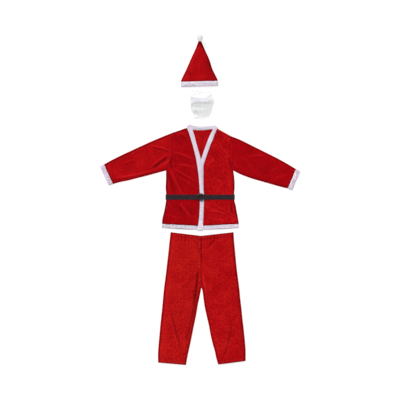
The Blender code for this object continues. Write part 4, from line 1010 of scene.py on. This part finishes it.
def make_hair_row(row, look):
    """A row of fine strands that fall in locks from their strip."""
    chance = random.Random(row.name)
    chin = row.name == "chin"
    across = row.right - row.left

    def line(share):
        x = mix(row.left, row.right, share)
        return x, strip_line(row, x)

    def centre_of(_, root):
        share = (root.x - row.left) / across
        outward = row.outward[0] * (1 - share) ** 3 + row.outward[1] * share**3
        lock = uneven(root.x * 210, row.drop * 40, 1.0)
        full = min(row.longest, root.y - line_at(TIPS, root.x + outward))
        length = full * (0.93 + 0.08 * lock + chance.uniform(-0.10, 0.02))
        gather = 0.0
        if chin and root.x > LOCKS_FROM:
            lock_x, tip_y, off = nearest_lock(root.x)
            gather = (lock_x - root.x) * 0.55
            length = (root.y - tip_y) * (1 - 0.10 * off - 0.06 * chance.random())
        elif chin and root.x > CURL_ROOT - 0.002:
            length = 0.022 * chance.uniform(0.6, 1.0)
        level = chance.uniform(-0.5, 0.9)
        pull = 0.0 if gather else uneven(root.x * 150, row.drop * 40, 7.0) * 0.005
        phase = root.x * 60 + chance.uniform(-0.5, 0.5)

        def centre(t):
            run = t * length
            lean = outward * sin(t * 2.2) / 0.9 + gather * soft(t * 1.2 - 0.2) + pull * t * t
            sway = 0.0010 * sin(6 * t + phase) * t
            rise = LAYER * min(run / LAYER_RUN, row.layer) * (1 - 0.15 * t**3)
            rise += 0.0010 * level * soft(t * 3)
            return Vector((root.x + lean + sway, root.y - run, root.z + 0.0002 + rise))

        return centre

    wide = across / row.strands * 1.45
    make_hair("beard_hair_" + row.name, (row.strands, line, STRIP_WIDE, 0.0), centre_of,
              (wide, STRAND, 7, 0.50 if chin else 0.75), look, "beard_row_" + row.name)


def make_curl():
    """A lock of the chin that runs down and turns almost all the way round."""
    chance = random.Random(8)
    root_y = strip_line(HAIR_ROWS[0], CURL_ROOT)

    def line(share):
        return CURL_ROOT + (share - 0.5) * 0.0130, root_y - 0.0012

    def centre_of(_, root):
        off = root.x - CURL_ROOT
        level = chance.uniform(-0.6, 1.4)
        last = chance.uniform(0.74, 0.90)

        def centre(t):
            run = t * (CURL_DROP + 2 * pi * CURL_RADIUS * last)
            height = mix(root.z, 0.0013, soft(t * 8)) + 0.0010 * level * soft(t * 3)
            close = off * (1 - 0.30 * t)
            if run < CURL_DROP:
                return Vector((CURL_ROOT + close, root_y - run, height))
            turn = (run - CURL_DROP) / CURL_RADIUS
            tight = CURL_RADIUS * (1 - 0.03 * turn) - close
            middle = Vector((CURL_ROOT + CURL_RADIUS, root_y - CURL_DROP, height))
            return middle + Vector((-cos(turn) * tight, -sin(turn) * tight, 0.0))

        return centre

    strip, strands = (46, line, 0.0010, STRIP_DEEP + CLEAR), (0.00034, 0.00040, 36)
    make_hair("beard_hair_curl", strip, centre_of, strands, CHIN_HAIR)


def make_moustache():
    """Two bunches that fan out from the middle of the upper lip."""
    chance = random.Random(5)
    count = 460

    def line(share):
        x = mix(*MOUSTACHE, share)
        return x, line_at(TOP_EDGE, x) - STRIP_WIDE + 0.0005

    def centre_of(index, root):
        out = (index + 0.5) / count * 2 - 1
        heading = -pi / 2 + out * radians(MOUSTACHE_FAN) + chance.uniform(-0.07, 0.07)
        length = mix(*MOUSTACHE_LONG, abs(out)) * chance.uniform(0.80, 1.05)
        level = chance.uniform(-0.5, 1.0)

        def centre(t):
            run = t * length
            way = Vector((cos(heading - 0.25 * out * t), sin(heading - 0.25 * out * t), 0.0))
            lift = 0.0005 * soft(run / 0.006) + MOUSTACHE_CLIMB * run + 0.0009 * level * soft(t * 3)
            return root + way * run + Vector((0, 0, lift))

        return centre

    make_hair("beard_hair_moustache", (count, line, STRIP_WIDE - 0.001, STRIP_DEEP + REST), centre_of,
              (0.00042, STRAND, 6), LIP_HAIR, "beard_moustache")


def make_knot():
    """The knot that joins the elastic, a lump of two turns, and its short cut end."""
    middle = on_floor(BEARD_AT, *KNOT, ELASTIC + 0.0004 + KNOT_SIZE / 2)
    mesh = bmesh.new()
    bmesh.ops.create_icosphere(mesh, subdivisions=3, radius=KNOT_SIZE * 0.62)
    for vert in mesh.verts:
        turn = atan2(vert.co.z, vert.co.y)
        vert.co *= 1 + 0.16 * sin(3 * turn + vert.co.x * 2400)
        vert.co += middle
    places, steps = [], 14
    for step in range(steps + 1):
        t = step / steps
        fall = (middle.z - ELASTIC / 2 - 0.0002) * soft(t * 2.2)
        places.append(middle + Vector((0.0015 * sin(3 * t), -KNOT_SIZE / 2 - KNOT_END * t, -fall)))
    ring = bmesh.ops.create_circle(mesh, cap_ends=True, segments=8, radius=ELASTIC / 2)["verts"]
    start = Matrix.Translation(places[0]) @ Matrix.Rotation(pi / 2, 4, "X")
    bmesh.ops.transform(mesh, matrix=start, verts=ring)
    face = next(face for face in mesh.faces if all(vert in ring for vert in face.verts))
    for before, here in zip(places, places[1:]):
        face = bmesh.ops.extrude_discrete_faces(mesh, faces=[face])["faces"][0]
        bmesh.ops.translate(mesh, verts=face.verts, vec=here - before)
    keep("elastic_knot", mesh, ELASTIC_COVER, "beard_elastic_knot")


# ---------------------------------------------------------------- jacket
def cinch(y):
    """How firmly the belt holds the cloth at this height, from 0 to 1."""
    return ramp_at(CINCH, y)


def belt_lift(y):
    return (TAPE + REST) * cinch(y)


def back_top(y):
    """The height of the back, or of the plush along its hem and its neck."""
    over_hem = clamp((0.062 - y) / 0.026)
    over_neck = clamp((y - 0.705) / 0.036)
    return mix(CLOTH + belt_lift(y), PLUSH, max(over_hem, over_neck))


def band_plush(y):
    return mix(PLUSH, CINCHED_PLUSH, cinch(y))


def band_base(side, y):
    """What a front band lies on. The wearer's right one lies over the left one below the neck."""
    base = back_top(y) + REST
    if side < 0:
        base += (band_plush(y) + REST) * soft((0.690 - y) / 0.130)
    return base


def side_edge(side, y):
    return edge_at(SIDES, y, OUTER[side])


def band_edge(side, y):
    return edge_at(BANDS[side], y, OUTER[side])


def shoulder_at(side, x):
    """The height of a front's shoulder edge, which falls from the neck to the armhole."""
    return mix(NECK, SHOULDER[side], clamp((abs(x) - 0.10) / 0.12))


def at_band_height(at_side, side):
    """The height on the band that a height on the side is joined to by a thread line."""
    if at_side <= UNDERARM:
        low = mix(HEM_FRONT, BAND_MIDDLE, (at_side - HEM_SIDE) / (UNDERARM - HEM_SIDE))
        return mix(low, at_side, soft((at_side - 0.1) / 0.1) * soft((0.42 - at_side) / 0.1))
    return mix(BAND_MIDDLE, NECK, (at_side - UNDERARM) / (SHOULDER[side] - UNDERARM))


def front_top(side, x, y):
    """The height of a front's outer face, with its seams, its lift, its creases and its waves."""
    edge = 2 * CLOTH + REST
    in_from_side = abs(side_edge(side, y) - x) + max(0.0, y - UNDERARM) * 0.15
    full = soft(in_from_side / EASE) * soft((shoulder_at(side, x) - y) / EASE)
    flat = cinch(y)
    near_belt = near(abs(y - BELT_HEIGHT), 0.085) * (1 - flat)
    gather = 0.0013 * near_belt * sin(x * 230 + 3 * uneven(x * 14, y * 6, 1))
    lift = max(0.0, LOFT + relief(JACKET_CREASES, x, y) + waves(x, y) + gather)
    height = edge + full * (lift * (1 - 0.9 * flat) + 0.1 * LOFT * flat) + belt_lift(y)
    in_from_hem = y - mix(HEM_SIDE, HEM_FRONT, clamp(1 - in_from_side / 0.25))
    height += 0.0018 * near(in_from_hem, 0.045)     # the hem's plush lifts it, and its seam puckers it
    height += 0.0006 * near(in_from_hem, 0.05) * sin(x * 300 + 2 * uneven(x * 20, 0, 4))
    in_from_band = abs(band_edge(side, y) - x)
    pucker = 0.0004 * sin(y * 520) * near(in_from_band, 0.02) * (1 - flat)
    at_band = band_base(side, y) + 0.0006 + CLOTH + pucker
    return mix(height, at_band, near(in_from_band, BAND_EASE))


def make_front(side):
    columns, rows = 66, 176
    name = "front_" + SIDE_NAMES[side]

    def place(column, row, depth):
        at_side = mix(HEM_SIDE, SHOULDER[side], row / rows)
        at_band = at_band_height(at_side, side)
        outer = Vector((side_edge(side, at_side), at_side))
        inner = Vector((band_edge(side, at_band) + side * SEAM, at_band))
        x, y = outer.lerp(inner, column / columns)
        in_side = abs(x - side_edge(side, y))
        nap = painted_crease_shading(JACKET_CREASES, x, y) + (painted_seam_shading(in_side) if y > UNDERARM else painted_fold_shading(in_side))
        # painted shade along the hem's seam and beside the band
        nap -= SEAM_SHADE * near(y - mix(HEM_SIDE, HEM_FRONT, column / columns), 0.012)
        nap -= 0.7 * near(abs(x - band_edge(side, y)), 0.009)
        # painted fold shade and highlight along the shoulder
        if y > UNDERARM:
            nap += painted_fold_shading(shoulder_at(side, x) - y)
        return x, y, front_top(side, x, y) - depth * CLOTH, nap

    look = VELOURS[SIDE_NAMES[side] + "_front"]
    return cloth(name + "_velour", columns, rows, place, JACKET_AT, look, name)


def make_back():
    columns, rows = 70, 90

    def place(column, row, depth):
        share = column / columns
        along = row / rows
        right_y, left_y = mix(HEM_SIDE, SHOULDER[-1], along), mix(HEM_SIDE, SHOULDER[1], along)
        right = Vector((side_edge(-1, right_y), right_y))
        left = Vector((side_edge(1, left_y), left_y))
        rise = clamp((along - 0.6) / 0.4) ** 1.5
        shoulders = Vector(NECK_EDGE[0]).lerp(Vector(NECK_EDGE[-1]), share)
        x, y = right.lerp(left, share) + (path_at(NECK_EDGE, share) - shoulders) * rise
        y -= hem_sag(share) * clamp(1 - along * 6)
        shown = clamp((0.055 - abs(x - 0.012)) / 0.03) * soft((y - 0.56) / 0.06) * soft((0.74 - y) / 0.03)
        swell = 0.0012 + relief(BACK_CREASES, x, y) + 0.5 * waves(x, y, 8.0)
        swell = swell * shown * (1 - depth * 0.8)
        nap = painted_crease_shading(BACK_CREASES, x, y) + 0.15 * shown
        return x, y, belt_lift(y) + (1 - depth) * CLOTH + max(0.0, swell), nap

    return cloth("jacket_back_velour", columns, rows, place, JACKET_AT, VELOURS["back"], "jacket_back")


def hem_sag(share):
    """How much lower the hem is in the middle than at the sides."""
    return (HEM_SIDE - HEM_FRONT) * 4 * share * (1 - share)


def rounded(share, width):
    """How far a plush strip's face falls at its two edges."""
    off_edge = min(share, 1 - share) * width
    return ROLL * (1 - clamp(off_edge / ROLL_WIDE)) ** 2


def make_neck_band():
    columns, rows = 60, 7
    below = (NECK_BAND_ENDS[0], *NECK_EDGE[3:6], NECK_BAND_ENDS[1])

    def place(column, row, depth):
        share = column / columns
        low = path_at(below, share) + Vector((0, SEAM))
        x, y = low.lerp(path_at(NECK_BAND_TOP, share), row / rows)
        drop = rounded(row / rows, NECK_BAND_WIDE) * (1 - depth)
        return Vector((x, y, (1 - depth) * (PLUSH - PILE) - drop + CLEAR))

    return cloth("neck_plush", columns, rows, place, JACKET_AT, NECK_PLUSH, "back_neck_band", pile=TUFT)


def make_front_band(side):
    columns, rows = 10, 230
    flare = rows - 8
    name = "front_band_" + SIDE_NAMES[side]
    band, tip = BANDS[side], BAND_TIPS[side]

    def place(column, row, depth):
        share = column / columns
        y = mix(band[0].height, NECK, min(row, flare) / flare)
        a, b = (Vector((edge_at(band, y, edge), y)) for edge in (OUTER[side], OUTER[-side]))
        if row > flare:
            past = (row - flare) / (rows - flare)
            a, b = a.lerp(Vector(tip[0]), past), b.lerp(Vector(tip[1]), past)
        x, place_y = a.lerp(b, share)
        loose = 1 - cinch(y)
        drop = rounded(share, FRONT_BAND_WIDE) * loose * (1 - depth)
        lumps = 0.0005 * uneven(x * 60, place_y * 45, 3.0) * loose * (1 - depth)
        full = band_plush(y) - PILE * loose
        return Vector((x, place_y, band_base(side, y) + full * (1 - depth) - drop + lumps))

    return cloth(name + "_plush", columns, rows, place, JACKET_AT, WHITE_PLUSH, name, pile=TUFT)


def make_hem_back():
    columns, rows = 150, 8

    def place(column, row, depth):
        share = column / columns
        x = mix(side_edge(-1, HEM_SIDE), side_edge(1, HEM_SIDE), share)
        y = HEM_SIDE - hem_sag(share) - SEAM - (1 - row / rows) * HEM_BAND
        return Vector((x, y, (1 - depth) * (PLUSH - PILE * 0.6) + CLEAR))

    return cloth("hem_back_plush", columns, rows, place, JACKET_AT, WHITE_PLUSH, "hem_band_back",
                 pile=SHORT_TUFT)


def make_hem_front(side, look):
    columns, rows = 92, 10
    outer = Vector((side_edge(side, HEM_SIDE), HEM_SIDE))
    inner = Vector((band_edge(side, HEM_FRONT) + side * SEAM, HEM_FRONT))
    lower = band_edge(side, 0.0) + side * 2 * SEAM - inner.x

    def place(column, row, depth):
        share = column / columns
        x, y = outer.lerp(inner, share)
        fall = 1 - row / rows
        x += lower * fall * clamp(share * 12 - 11)
        y -= SEAM + fall * HEM_BAND
        ripple = 0.0007 * sin(x * 260 + 2 * uneven(x * 20, 0, 2)) * (1 - depth)
        drop = rounded(row / rows, HEM_BAND) * (1 - depth)
        return Vector((x, y, PLUSH + REST + (1 - depth) * (PLUSH - PILE) - drop + ripple))

    return cloth("hem_" + SIDE_NAMES[side] + "_plush", columns, rows, place, JACKET_AT, look,
                 "hem_band_" + SIDE_NAMES[side], pile=TUFT)


def make_sleeve(side):
    def armhole(share):
        height = mix(SHOULDER[side], UNDERARM, share)
        return Vector((side_edge(side, height) - side * ARMHOLE_IN, height))

    name = SIDE_NAMES[side]
    top, bottom = armhole(0.0), armhole(1.0)
    stations = (Station(*top, *bottom), *SLEEVES[side])
    rows, cuff_rows = 118, 15

    def point(row, share):
        along = row / rows
        here = path_at(stations, along)
        bow = armhole(share) - top.lerp(bottom, share)
        return Vector(here[:2]).lerp(Vector(here[2:]), share) + bow * (1 - soft(along / BOW_FADES))

    def sleeve_top(x, y, in_edge, ends):
        gather = 0.0007 * sin(y * 330 + 2 * uneven(0, y * 25, 6)) * near(ends[1], 0.03)
        lift = LOFT + relief(JACKET_CREASES, x, y) + waves(x, y, 3.0) + gather
        height = soft(in_edge / EASE) * max(LOWEST_LIFT, lift)
        return mix(height, front_top(side, x, y) - FOLD - 0.0002, near(ends[0], 0.018))

    def sleeve_painted_shading(x, y, in_edge, ends):
        # painted shade beside the cuff, with painted fold and seam shading
        shadow = SEAM_SHADE * near(ends[1], 0.013)
        return painted_fold_shading(in_edge) + painted_seam_shading(ends[0]) + painted_crease_shading(JACKET_CREASES, x, y) - shadow

    sleeve = flat_tube("sleeve_" + name + "_velour", point, rows, TOPS, LOWS,
                       Lay(CLOTH, FOLD, sleeve_top, nap=sleeve_painted_shading), JACKET_AT, VELOURS[name + "_sleeve"],
                       "sleeve_" + name)
    start, end = SLEEVES[side][-1], CUFF_END[side]
    gap = SEAM / hypot(end.upper_x - start.upper_x, end.upper_y - start.upper_y)

    def cuff_point(row, share):
        here = [mix(a, b, mix(gap, 1.0, row / cuff_rows)) for a, b in zip(start, end)]
        return Vector(here[:2]).lerp(Vector(here[2:]), share)

    cuff = flat_tube("cuff_" + name + "_plush", cuff_point, cuff_rows, 72, 28,
                     Lay(PLUSH, PLUSH_FOLD, plush_top(0.009, 1.0), pile=LONG_TUFT), JACKET_AT,
                     WHITE_PLUSH, "cuff_" + name)


def make_jacket():
    back = make_back()
    neck = make_neck_band()
    hem_back = make_hem_back()
    hems = {-1: make_hem_front(-1, HEM_PLUSH), 1: make_hem_front(1, WHITE_PLUSH)}
    for side in (-1, 1):
        front = make_front(side)
        band = make_front_band(side)
        make_sleeve(side)


# ---------------------------------------------------------------- belt
def under_belt(x):
    """The height of what the belt lies on, which it can't follow into narrow places."""
    highest = 0.0
    for step in range(-3, 4):
        at = clamp(x + step / 3 * STIFFNESS, side_edge(-1, BELT_HEIGHT), side_edge(1, BELT_HEIGHT))
        band = [edge_at(BANDS[-1], BELT_HEIGHT, edge) for edge in ("left", "right")]
        if band[0] < at < band[1]:
            height = band_base(-1, BELT_HEIGHT) + band_plush(BELT_HEIGHT)
        else:
            height = front_top(-1 if at < 0 else 1, at, BELT_HEIGHT)
        highest = max(highest, height)
    return highest


def bump(x, hump):
    return 1 - soft((abs(x) - hump[0]) / hump[1])


def belt_base(x):
    lift = (BAR_DEEP + REST) * bump(x - BUCKLE_X, BAR_HUMP)
    for keeper in KEEPERS.values():
        lift += (KEEPER_WALL + REST) * bump(x - keeper, KEEPER_HUMP)
    return under_belt(x) + BELT_REST + lift


def make_belt():
    left = side_edge(-1, BELT_HEIGHT) - BELT_SLACK
    right = side_edge(1, BELT_HEIGHT) + BELT_SLACK
    rows = 12
    steps = 180
    fold = (under_belt(left) + BELT_REST + TAPE) / 2
    stops = [left + fold + (right - left - 2 * fold) * step / steps for step in range(steps + 1)]
    heights = {stop: belt_base(stop) for stop in stops}
    ring = [("fold", -1, turn) for turn in FOLD_TURNS] + [("top", stop, 0) for stop in stops[1:-1]]
    ring += [("fold", 1, turn) for turn in reversed(FOLD_TURNS)]
    ring += [("low", stop, 0) for stop in reversed(stops[10:-10:10])]
    ring.append(ring[0])

    def place(column, row, depth):
        kind, value, turn = ring[column]
        across = row / rows
        y = BELT_HEIGHT + (across - 0.5) * BELT_WIDTH
        if kind == "top":
            selvedge = SELVEDGE * (abs(across - 0.5) < 0.44) * (1 - depth)
            cup = CUP * uneven(value * 16, across * 1.3, 2.0) * (1 - depth * 0.5)
            return value, y, heights[value] + TAPE * (1 - depth) + max(0.0, cup) - selvedge
        if kind == "low":
            return value, y, TAPE * depth
        radius = fold - TAPE * depth
        middle = left + fold if value < 0 else right - fold
        return middle + value * radius * cos(radians(turn)), y, fold + radius * sin(radians(turn))

    strap = cloth("belt_webbing", len(ring) - 1, rows, place, JACKET_AT, BELT_WEAVE, "belt_strap", rows)
    keepers = [make_keeper(name, x) for name, x in KEEPERS.items()]
    buckle = make_buckle()


def make_keeper(name, x):
    """A flat loop round the upper run, with rounded folds."""
    rows = 6
    reach = KEEPER_WIDE / 2
    low = under_belt(x) + KEEPER_LOW
    high = max(belt_base(x + off) for off in (-reach, 0, reach)) + TAPE + REST + KEEPER_WALL
    half = BELT_WIDTH / 2 + BELT_REST + KEEPER_WALL
    radius = (high - low) / 2
    ring = [(-1, turn) for turn in FOLD_TURNS] + [(1, turn) for turn in reversed(FOLD_TURNS)]
    ring.append(ring[0])

    def place(column, row, depth):
        side, turn = ring[column]
        inset = KEEPER_WALL * depth
        out = half - radius + (radius - inset) * cos(radians(turn))
        height = low + radius + (radius - inset) * sin(radians(turn))
        return x + (row / rows - 0.5) * KEEPER_WIDE, BELT_HEIGHT + side * out, height

    return cloth("belt_loop_" + name, len(ring) - 1, rows, place, JACKET_AT, LOOP_WEAVE,
                 "belt_keeper_" + name, rows)


def make_buckle():
    """A round moulded ring with a groove in its face, and the bar that the belt runs over."""
    bar_low = under_belt(BUCKLE_X) + REST
    ring_low = max(belt_base(BUCKLE_X - BUCKLE_RING), belt_base(BUCKLE_X + BUCKLE_RING)) + TAPE + REST
    mesh = bmesh.new()
    section = bmesh.ops.create_circle(mesh, segments=24, radius=1.0)["verts"]
    for vert in section:
        across, up = vert.co.x, vert.co.y
        groove = GROOVE_DEEP * (up > 0) * bell(across / GROOVE_WIDE)
        vert.co = (BUCKLE_RING + BUCKLE_RIM * across, 0.0, ring_low + BUCKLE_DEEP * (1 + up - groove))
    bmesh.ops.spin(mesh, geom=mesh.verts[:] + mesh.edges[:], cent=(0, 0, 0), axis=(0, 0, 1),
                   dvec=(0, 0, 0), angle=2 * pi, steps=80, use_merge=True)
    bmesh.ops.remove_doubles(mesh, verts=mesh.verts, dist=1e-6)
    post = BELT_WIDTH / 2 + POST_OFF
    stops = (-BUCKLE_RING, -post, POST_WIDE - post, post - POST_WIDE, post, BUCKLE_RING)
    last = len(stops) - 1
    bar = bmesh.new()
    bmesh.ops.create_grid(bar, x_segments=6, y_segments=last, size=0.5)
    under = doubled(bar)
    for vert in bar.verts:
        index = round((vert.co.y + 0.5) * last)
        level = bar_low + BAR_DEEP if index in (2, 3) else ring_low + BUCKLE_DEEP
        level -= BAR_ROUND * abs(vert.co.x * 2) ** 3
        vert.co = (vert.co.x * BAR_WIDE, stops[index], bar_low if vert in under else level)
    face_out(bar)
    face_out(mesh)
    data = bpy.data.meshes.new("buckle_bar")
    bar.to_mesh(data)
    bar.free()
    mesh.from_mesh(data)
    bmesh.ops.translate(mesh, verts=mesh.verts, vec=on_floor(JACKET_AT, BUCKLE_X, BELT_HEIGHT))
    return keep("belt_moulded_buckle", mesh, MOULDED, "belt_buckle")


# ---------------------------------------------------------------- trousers
def make_leg(side):
    name = "trouser_" + SIDE_NAMES[side] + "_"
    stations = LEGS[side]
    low = HEM_INNER[side]
    below, above = 168, 110
    rows = below + above
    rise = HEM_RISE[side] - low

    def point(row, share):
        height = mix(low, CROTCH, row / below)
        if row > below:
            height = mix(CROTCH, WAIST_FRONT, (row - below) / above)
        slope = mix(rise, WAIST_SIDE - WAIST_FRONT, soft(height / WAIST_FRONT))
        slope *= clamp(abs(height / WAIST_FRONT - 0.5) * 2 + LEVEL_KNEE)
        inner = Vector((edge_at(stations, height, "inner") - side * LEG_GAP, height))
        outer = Vector((edge_at(stations, height + slope, "outer"), height + slope))
        return inner.lerp(outer, share)

    def leg_top(x, y, in_edge, ends):
        to_hem, to_waist = ends
        gather = sin(x * 260 + 3 * uneven(x * 18, y * 3, 7))
        height = LOFT + relief(TROUSER_CREASES, x, y) + waves(x, y, 4.0)
        # the elastic gathers the waist, thread draws both edges in, and cloth is doubled beyond it
        height += 0.0011 * gather * near(to_waist, 0.16) + 0.0005 * gather * near(to_waist, 0.05)
        height -= 0.0012 * bell((to_waist - CASING) / 0.0025)
        height -= 0.0009 * bell((to_hem - LEG_HEM) / 0.0022)
        height += DOUBLED * (near(to_hem, LEG_HEM) + near(to_waist, CASING))
        at_seam = near(in_edge, 0.012) if y > CROTCH and abs(x) < 0.05 else 0.0
        return mix(soft(in_edge / EASE) * height, 0.0, at_seam)

    def leg_painted_shading(x, y, in_edge, ends):
        to_hem, to_waist = ends
        # painted shade along the waist's and the hem's folded edges
        nap = painted_crease_shading(TROUSER_CREASES, x, y) - 0.8 * near(to_waist, 0.010) - near(to_hem, 0.016)
        # painted highlight on the doubled casing and hem, painted shade in their stitched grooves
        nap += 0.10 * near(abs(to_waist - CASING / 2), 0.014) - 0.30 * bell((to_waist - CASING) / 0.004)
        nap += 0.12 * near(abs(to_hem - LEG_HEM / 2), 0.012) - 0.20 * bell((to_hem - LEG_HEM) / 0.004)
        if y > CROTCH:
            in_seam = abs(x - edge_at(stations, y, "inner"))
            # painted shade down the centre seam
            dark = mix(0.30, 0.65, soft((y - 0.74) / 0.09)) * bell(in_seam / 0.0050)
            return nap + painted_fold_shading(in_edge + 0.014 * (in_seam < 0.012)) + painted_seam_shading(in_seam) - dark
        return nap + painted_fold_shading(in_edge)

    leg = flat_tube(name + "velour", point, rows, TOPS + 2, LOWS,
                    Lay(CLOTH, FOLD, leg_top, nap=leg_painted_shading), TROUSERS_AT,
                    VELOURS[SIDE_NAMES[side] + "_leg"], "trouser_leg_" + SIDE_NAMES[side], below)

    def over(share, inset, end, ahead_end):
        """A place on the leg's upper face, inset from its hem or its waist."""
        here = point(end, share)
        x, y = here + (point(ahead_end, share) - here).normalized() * inset
        width = (point(end, 1.0) - point(end, 0.0)).length
        in_edge = min(share if end == 0 else 1.0, 1 - share) * width
        z = FOLD + leg_top(x, y, in_edge, (inset, 1.0) if end == 0 else (1.0, inset)) + CLEAR
        return Vector((x, y, z))

    steps = 60
    for kind, inset, end, ahead_end in (("hem", LEG_HEM, 0, 1), ("waist", CASING, rows, rows - 1)):
        line = [over(0.02 + 0.96 * step / steps, inset, end, ahead_end) for step in range(steps + 1)]
        stitches(name + kind + "_stitches", line)


# ---------------------------------------------------------------- floor and light
FLOOR_HALF = 30
FLOOR_BELOW = 0.0006
SKY = 0.25
# a name, a place it shines from, a strength and the angle that it spreads over
LAMPS = (("key", (-4.2, 7.8, 4.6), 5.1, 10.0), ("fill", (6.0, -3.0, 9.0), 0.40, 60.0))


def make_studio():
    mesh = bmesh.new()
    bmesh.ops.create_grid(mesh, x_segments=1, y_segments=1, size=FLOOR_HALF)
    bmesh.ops.translate(mesh, verts=mesh.verts, vec=(0, 0, -FLOOR_BELOW))
    data = bpy.data.meshes.new("floor")
    mesh.to_mesh(data)
    mesh.free()
    data.materials.append(paper().material)
    put("floor", data)
    world = bpy.data.worlds.new("studio")
    world.use_nodes = True
    background = world.node_tree.nodes["Background"]
    background.inputs["Color"].default_value = (1.0, 1.0, 1.0, 1.0)
    background.inputs["Strength"].default_value = SKY
    bpy.context.scene.world = world
    for name, where, power, spread in LAMPS:
        light = bpy.data.lights.new(name, "SUN")
        light.energy, light.angle = power, radians(spread)
        lamp = put(name, light)
        lamp.location = where
        lamp.rotation_euler = (-Vector(where)).to_track_quat("-Z", "Y").to_euler()
    bpy.context.scene.view_settings.view_transform = "Standard"


make_camera()
ELASTIC_COVER = covered_elastic()
make_cord("elastic", ELASTIC_ROUTE)
make_cord("elastic_tail", TAIL_ROUTE)

VELOURS = {place: velour("red_velour_of_" + place, *numbers) for place, *numbers in (
    ("hat", 14, 0.49, 0.22, 1.3, 120.0, 0.12),
    ("right_front", 15, 0.44, 0.40, 0.45),
    ("left_front", 42, 0.49, 0.48, 1.2, 88.0),
    ("right_sleeve", -30, 0.50, 0.22, 1.2),
    ("left_sleeve", 30, 0.45, 0.16, 0.5),
    ("back", 0, 0.44, 0.45, 1.6),
    ("right_leg", 42, 0.52, 0.62, 2.0, 190.0, 0.14, 3.4),
    ("left_leg", 84, 0.51, 0.38, 1.6, 150.0, 0.22, 3.4),
)}
WHITE_PLUSH = plush("white_plush", (0.900, 0.815, 0.910), (0.68, 0.595, 0.695))
HEM_PLUSH = plush("white_plush_of_right_hem", (0.830, 0.770, 0.850), (0.62, 0.565, 0.64))
NECK_PLUSH = plush("white_plush_of_neck", (0.800, 0.745, 0.820), (0.58, 0.53, 0.60))
# the pompom is dark and glows: painted light that evens out its lit and shaded sides
FLUFF = plush("white_fluff", (0.28, 0.265, 0.28), (0.25, 0.235, 0.25), 1.84)
TOP_HAIR = hair("fine_white_hair_at_lip", (0.72, 0.72, 0.73), (0.86, 0.87, 0.87), (0.94, 0.945, 0.94))
HAIR = hair("fine_white_hair", (0.86, 0.87, 0.87), (0.88, 0.89, 0.89), (0.96, 0.965, 0.96))
CHIN_HAIR = hair("fine_white_hair_at_chin", (0.88, 0.89, 0.88), (0.87, 0.88, 0.87), (0.94, 0.945, 0.94),
                 (0.78, 0.79, 0.77))
LIP_HAIR = hair("fine_cool_white_hair", (0.72, 0.71, 0.76), (0.88, 0.86, 0.91), (0.94, 0.925, 0.96))
BELT_WEAVE = webbing("black_belt_webbing", 0)
LOOP_WEAVE = webbing("black_loop_webbing", 90)
MOULDED = plastic()
RED_THREAD = thread("red_thread", (0.34, 0.004, 0.010))

make_knot()
make_hat()
for hair_row, hair_look in zip(HAIR_ROWS, (CHIN_HAIR, HAIR, HAIR, TOP_HAIR)):
    make_hair_row(hair_row, hair_look)
make_curl()
make_moustache()
make_jacket()
make_belt()
make_leg(-1)
make_leg(1)
make_studio()
